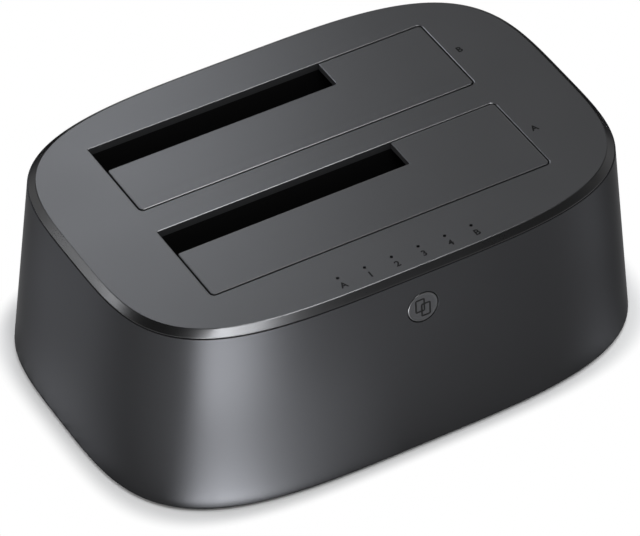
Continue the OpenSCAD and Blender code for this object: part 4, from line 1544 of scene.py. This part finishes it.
@dataclass
class PowerSwitch:
    """The rocker switch: its rim and body, the rocker and the rocker's two marks."""

    plan: DockPlan
    rim_size: Flat = (15.0, 10.4)
    rim_corner: float = 1.3
    rim_thickness: float = 0.8
    rim_round: float = 0.3
    body_lap: float = 1.0
    body_depth: float = 9.0
    body_corner: float = 0.3
    body_bite: float = 0.4
    rocker_size: Flat = (11.6, 7.0)
    rocker_gap: float = 0.3
    rocker_drop: float = 1.2
    rocker_deep: float = 3.4
    rocker_tilt: float = math.radians(9)
    rocker_dip: float = 0.5
    rocker_dip_round: float = 6.0
    rocker_side: float = 1.4
    rocker_side_round: float = 0.3
    rocker_edge_round: float = 0.35
    keel_share: float = 0.6
    keel_round: float = 0.4
    well_room: float = 1.2
    well_corner: float = 0.5
    well_round: float = 0.2
    mark_x: float = 3.2
    mark_stroke: float = 0.35
    mark_half: float = 1.05
    mark_corner: float = 0.05
    mark_low: float = -0.15
    bar_high: float = 0.13
    ring_high: float = 0.03

    def on_recess(self) -> Matrix:
        """Frame on the floor of the recess.

        Returns:
            The frame, at the switch's middle.
        """
        plan = self.plan
        sunk = Matrix.Translation((0, 0, -plan.recess))
        return plan.on_wall(Wall.REAR, plan.switch_x, plan.port_height) @ sunk

    def housing(self) -> bpy.types.Object:
        """Makes the rim and the body behind it.

        Returns:
            The housing.
        """
        at = self.on_recess()
        made = Moulding("switch_frame")
        rim = slab(0, self.rim_thickness, self.rim_round)
        made.stack(grown(centred(self.rim_size, self.rim_corner)), rim, at)
        inner = tuple(size - 2 * self.body_lap for size in self.rim_size)
        body = centred(inner, self.body_corner)
        made.combine(Combine.ADD, Moulding("body").bar(body, -self.body_depth, self.body_bite, at))
        well = tuple(size + 2 * self.rocker_gap for size in self.rocker_size)
        low = -self.rocker_drop - self.rocker_deep - self.well_room
        mouth = mouth_profile(low, self.rim_thickness, self.well_round)
        made.combine(Combine.CUT, Moulding("well").stack(grown(centred(well, self.well_corner)), mouth, at))
        return fit(made.piece([SOCKET_NYLON]), "case", "socket_plastic", "switch_housing")

    def rocker(self) -> bpy.types.Object:
        """Makes the rocker and its marks.

        Returns:
            The rocker.
        """
        turn = Matrix.Translation((0, 0, -self.rocker_drop)) @ Matrix.Rotation(self.rocker_tilt, 4, "Y")
        at = self.on_recess() @ turn
        half = self.rocker_size[0] / 2
        top = self.rocker_drop + self.rim_thickness
        keel = -self.rocker_deep * self.keel_share
        side = top - self.rocker_side
        section = [
            Corner(-half / 2, keel, self.keel_round),
            Corner(half / 2, keel, self.keel_round),
            Corner(half, side, self.rocker_side_round),
            Corner(half, top, self.rocker_edge_round),
            Corner(0, top - self.rocker_dip, self.rocker_dip_round),
            Corner(-half, top, self.rocker_edge_round),
            Corner(-half, side, self.rocker_side_round),
        ]
        across = self.rocker_size[1] / 2
        made = Moulding("rocker_cap")
        made.bar(section, -across, across, at @ SECTION_ALONG_Y)
        cap = fit(made.piece([ROCKER_GLOSS]), "power_rocker", "inner_plastic", "power_rocker")
        self.marks(at, top)
        return cap

    def marks(self, at: Matrix, top: float) -> bpy.types.Object:
        """Prints the bar and the ring on the rocker's two sides.

        Args:
            at: Frame of the rocker.
            top: Height of the rocker's raised ends.

        Returns:
            The print.
        """
        slope = math.atan2(self.rocker_dip, self.rocker_size[0] / 2)
        rise = top - self.rocker_dip + self.mark_x * math.tan(slope)
        made = Moulding("rocker_marks")
        left, right = (
            at @ Matrix.Translation((side * self.mark_x, 0, rise)) @ Matrix.Rotation(-side * slope, 4, "Y")
            for side in (-1, 1)
        )
        low, high = self.mark_low, self.ring_high
        bar = centred((self.mark_stroke, 2 * self.mark_half), self.mark_corner)
        made.bar(bar, low, self.bar_high, left)
        ring = [(0, low), (0, high), (-self.mark_stroke, high), (-self.mark_stroke, low)]
        made.stack(disc(self.mark_half), ring, right, Ends.LOOPED)
        return fit(made.piece([MARK_PALE]), "power_rocker", "inner_plastic")

    def build(self) -> None:
        """Makes the whole switch."""
        self.housing()
        self.rocker()


@dataclass
class Ports:
    """The moulded body of the power jack and the folded shell of the data port."""

    plan: DockPlan
    jack_bore: float = 6.3
    jack_bore_depth: float = 10.0
    jack_bore_round: float = 0.35
    jack_corner: float = 0.6
    shell_wall: float = 0.4
    shell_corner: float = 0.7
    shell_round: float = 0.15

    def jack(self) -> bpy.types.Object:
        """Makes the power jack's body.

        Returns:
            The body.
        """
        low, high = (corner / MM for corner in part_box("power_jack_body"))
        section = rectangle((low.x, low.z), (high.x, high.z), self.jack_corner)
        made = Moulding("power_jack_block").bar(section, -high.y, -low.y, SECTION_ALONG_Y)
        mouth = mouth_profile(-self.jack_bore_depth, 0, self.jack_bore_round)
        place = ((low.x + high.x) / 2, high.y, (low.z + high.z) / 2)
        at = Matrix.Translation(place) @ Matrix.Rotation(-math.pi / 2, 4, "X")
        made.combine(Combine.CUT, Moulding("bore").stack(disc(self.jack_bore / 2), mouth, at))
        return fit(made.piece([SOCKET_NYLON]), "case", "socket_plastic", "power_jack_body")

    def shell(self) -> bpy.types.Object:
        """Makes the data port's metal shell.

        Returns:
            The shell.
        """
        low, high = (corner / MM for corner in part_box("data_port_shell"))
        section = rectangle((low.x, low.z), (high.x, high.z), self.shell_corner)
        wall = self.shell_wall
        corners = [
            Corner(-wall, -low.y),
            Corner(0, -low.y),
            Corner(0, -high.y, self.shell_round),
            Corner(-wall, -high.y, self.shell_round),
        ]
        made = Moulding("data_port_can")
        made.stack(grown(section), rounded(corners), SECTION_ALONG_Y, Ends.LOOPED)
        return fit(made.piece([PLATED_STEEL]), "case", "plated_steel", "data_port_shell")

    def build(self) -> None:
        """Makes both ports."""
        self.jack()
        self.shell()


# Studio


@dataclass(frozen=True)
class Softbox:
    """One area lamp, in metres and watts."""

    name: str
    place: Place
    aim: Place
    size: Flat
    power: float
    tint: Colour = (0.96, 0.975, 1.0)


@dataclass(frozen=True)
class Strip:
    """One narrow lamp that lies on the floor and points away from the case, in metres and watts."""

    foot: Flat
    heading: float
    power: float
    length: float
    width: float
    gap: float
    rise: float = 0.0015
    tilt: float = math.radians(4)

    def softbox(self) -> Softbox:
        """The strip as an area lamp.

        Returns:
            The lamp, which faces up and leans a little towards the case.
        """
        turn = math.radians(self.heading)
        away = Vector((math.cos(turn), math.sin(turn), 0))
        up = Vector((0, 0, 1))
        reach = self.gap + self.length / 2
        slope = away * math.cos(self.tilt) + up * math.sin(self.tilt)
        place = Vector((*self.foot, self.rise)) + slope * reach
        aim = place + up * math.cos(self.tilt) - away * math.sin(self.tilt)
        name = f"strip_{self.heading:.0f}_{reach / MM:.0f}"
        return Softbox(name, tuple(place), tuple(aim), (self.width, self.length), self.power)


# Places round the foot that strips start from, each with its heading in degrees
NEAR_CORNER = (
    (-0.0689, -0.0449, -136.5),
    (-0.0660, -0.0468, -125.0),
    (-0.0630, -0.0487, -114.9),
    (-0.0565, -0.0514, -98.7),
    (-0.0498, -0.0533, -87.1),
    (-0.0429, -0.0545, -78.8),
    (-0.0359, -0.0553, -72.8),
    (-0.0290, -0.0558, -68.7),
    (-0.0220, -0.0560, -66.0),
    (-0.0150, -0.0561, -64.5),
)
LEFT_END = (
    (-0.0805, 0.0190, 109.6),
    (-0.0810, 0.0, 120.4),
    (-0.0805, -0.0190, 130.4),
    (-0.0789, -0.0286, 150.4),
)
RIGHT_END = (
    (0.0461, -0.0539, -39.6),
    (0.0575, -0.0509, -19.6),
    (0.0644, -0.0478, 0.4),
)

# Length and width of a strip and its distance from the foot
SHORT_STRIP = (0.005, 0.011, 0.0004)
FAR_STRIP = (0.16, 0.022, 0.047)


@dataclass(frozen=True)
class Fan:
    """Strips side by side round part of the foot, evened out between the places that have a power."""

    feet: tuple[Place, ...]
    powers: tuple[float | None, ...]
    length: float = 0.045
    width: float = 0.013
    gap: float = 0.002
    between: int = 3

    def strips(self) -> list[Strip]:
        """The strips between each place and the next.

        Returns:
            The strips, in order.
        """
        made = []
        given = [(*foot, power) for foot, power in zip(self.feet, self.powers) if power is not None]
        for first, last in zip(given, given[1:]):
            for step in range(self.between):
                share = (step + 0.5) / self.between
                x, y, heading, power = (near + (far - near) * share for near, far in zip(first, last))
                made.append(Strip((x, y), heading, power / self.between, self.length, self.width, self.gap))
        return made


def point(made: bpy.types.Object, place: Place, toward: Vector) -> None:
    """Stands a camera or a lamp in its place and turns it.

    Args:
        made: The camera or the lamp.
        place: Where it stands.
        toward: The way that it faces.
    """
    made.location = place
    made.rotation_mode = "QUATERNION"
    made.rotation_quaternion = toward.to_track_quat("-Z", "Y")


@dataclass
class Studio:
    """Camera, floor and lamps."""

    eye: Place = (-0.49439, -0.84100, 0.90474)
    look: Place = (0.3749, 0.6387, -0.6719)
    focal_pixels: float = 4865.6
    frame_pixels: float = 640.0
    sensor: float = 36.0
    wall_top: Flat = (0.2, 0.65)
    ceiling: float = 0.03
    floor_size: float = 12.0
    floor_pale: float = 0.66
    floor_half: Flat = (81.1, 56.1)
    # Reach from the foot's outline over which the floor's white glow fades in; inside it the floor is matt and
    # darker, as painted shade.
    painted_shade_reach: Flat = (0.98, 1.34)
    softboxes: tuple[Softbox, ...] = (
        Softbox(
            "rear_box", (0.0435, 0.2322, 0.2596), (0, 0, 0.058), (0.12, 0.12), 0.235, (0.9, 0.93, 1.0)
        ),
        Softbox("overhead_box", (0.14, 0.02, 0.548), (0.03, 0, 0.058), (0.1, 0.16), 0.72),
        Softbox("front_left_box", (-0.116, -0.2925, 0.4865), (-0.0567, -0.0442, 0.0576), (0.1, 0.06), 0.62),
        Softbox("front_box", (-0.009, -0.3187, 0.4746), (-0.049, -0.0467, 0.0576), (0.06, 0.06), 0.28),
        Softbox("left_box", (-0.3862, 0.2503, 0.3424), (-0.0743, -0.0164, 0.0576), (0.06, 0.06), 0.13),
        Softbox("rear_high_box", (-0.146, 0.288, 0.396), (-0.075, 0, 0.058), (0.08, 0.08), 0.06),
        Softbox("rear_left_box", (-0.364, 0.3194, 0.3106), (-0.0747, 0, 0.0576), (0.06, 0.06), 0.05),
    )
    fans: tuple[Fan, ...] = (
        Fan(NEAR_CORNER, (0.003, None, 0.027, 0.0255, 0.0122, 0.006, 0.0033, 0.0021, 0.0012, 0.0011)),
        Fan(NEAR_CORNER, (None, 0.0002, 0.0008, 0.0007, 0.0004, 0.0002, None, 0.0001), *SHORT_STRIP),
        Fan(NEAR_CORNER, (None, 0.06, 0.36, 0.3, 0.11, 0.02), *FAR_STRIP),
        Fan(LEFT_END, (0.002, 0.010, 0.005, 0.0)),
        Fan(LEFT_END, (0.02, 0.075, 0.03, 0.0), *FAR_STRIP),
        Fan(RIGHT_END, (0.0, 0.005, 0.0)),
        Fan(RIGHT_END, (0.0, 0.05, 0.0), *FAR_STRIP),
    )

    def camera(self) -> None:
        """Sets the camera at the photograph's viewing angle."""
        data = bpy.data.cameras.new("camera")
        data.sensor_fit = "HORIZONTAL"
        data.sensor_width = self.sensor
        data.lens = self.sensor * self.focal_pixels / self.frame_pixels
        made = link("camera", data)
        point(made, self.eye, Vector(self.look))
        bpy.context.scene.camera = made

    def floor(self) -> None:
        """Lays a floor that glows even white away from the dock and fades to matt pale grey round its foot, which
        keeps the dock's real shadow and adds painted shade there.
        """
        data = bpy.data.meshes.new("floor")
        square = centred((self.floor_size, self.floor_size))
        data.from_pydata([(corner.x, corner.y, 0) for corner in square], [], [(0, 1, 2, 3)])
        floor = link("floor", data)
        paint = bpy.data.materials.new("floor_white")
        paint.use_nodes = True
        sheet = ShaderSheet(paint.node_tree)
        # Painted shade: the glow fades out near the foot's outline, so the floor is darker round the foot whatever
        # the light.
        across, along = (sheet.along(axis) * (1 / half) for axis, half in zip("XY", self.floor_half))
        away = across * across * across * across + along * along * along * along
        white = sheet.seen("Camera", "Glossy", "Transmission") * away.rise(*self.painted_shade_reach)
        pale = (self.floor_pale, self.floor_pale, self.floor_pale, 1)
        matt = sheet.add("ShaderNodeBsdfDiffuse", None, {"Color": pale})
        glow = sheet.add("ShaderNodeEmission", None, {"Color": (1, 1, 1, 1), "Strength": 1.0})
        inputs = {0: white, 1: matt.outputs[0], 2: glow.outputs[0]}
        mixed = sheet.add("ShaderNodeMixShader", None, inputs)
        sheet.add("ShaderNodeOutputMaterial", None, {"Surface": mixed.outputs[0]})
        data.materials.append(paint)

    def world(self) -> None:
        """Fills the room with even light, which gloss shows as white walls under a dim ceiling."""
        world = bpy.data.worlds.new("room")
        bpy.context.scene.world = world
        world.use_nodes = True
        sheet = ShaderSheet(world.node_tree)
        facing = sheet.add("ShaderNodeTexCoord").outputs["Generated"]
        parts = sheet.add("ShaderNodeSeparateXYZ", None, {0: facing})
        height = Value(sheet, parts.outputs["Z"])
        gloss = sheet.seen("Glossy", "Transmission")
        strength = 1 - gloss * height.rise(*self.wall_top) * (1 - self.ceiling)
        back = sheet.add("ShaderNodeBackground", None, {"Color": (1, 1, 1, 1), "Strength": strength})
        sheet.add("ShaderNodeOutputWorld", None, {"Surface": back.outputs[0]})

    def lamp(self, softbox: Softbox) -> None:
        """Hangs one lamp.

        Args:
            softbox: The lamp's place, aim, size, power and tint.
        """
        data = bpy.data.lights.new(softbox.name, "AREA")
        data.shape = "RECTANGLE"
        data.size, data.size_y = softbox.size
        data.energy = softbox.power
        data.color = softbox.tint
        made = link(softbox.name, data)
        point(made, softbox.place, Vector(softbox.aim) - Vector(softbox.place))
        made.visible_camera = False

    def build(self) -> None:
        """Sets the whole studio."""
        bpy.context.scene.view_settings.view_transform = "Standard"
        self.camera()
        self.floor()
        self.world()
        strips = [strip for fan in self.fans for strip in fan.strips()]
        for softbox in (*self.softboxes, *(strip.softbox() for strip in strips)):
            self.lamp(softbox)


def dress_nodes() -> None:
    """Gives every CAD node the finish of its material slot."""
    for part in frame["record"]["subparts"]:
        finish = FINISH_OF_SLOT[part["material_slot"]]
        data = frame["nodes"][part["node"]].data
        data.materials.clear()
        data.materials.append(finish.material())
        log.info("%s is finished in %s", part["node"], finish.name)


def main() -> None:
    """Builds the dock and its studio."""
    plan = DockPlan()
    Studio().build()
    dress_nodes()
    BodyShell(plan).build()
    TopCover(plan).build()
    for bay in Bay:
        Flap(plan, bay).build()
        FlapSpring(plan, bay).build()
    CopyButton(plan).build()
    Legends(plan).build()
    PowerSwitch(plan).build()
    Ports(plan).build()


if __name__ == "__main__":
    main()
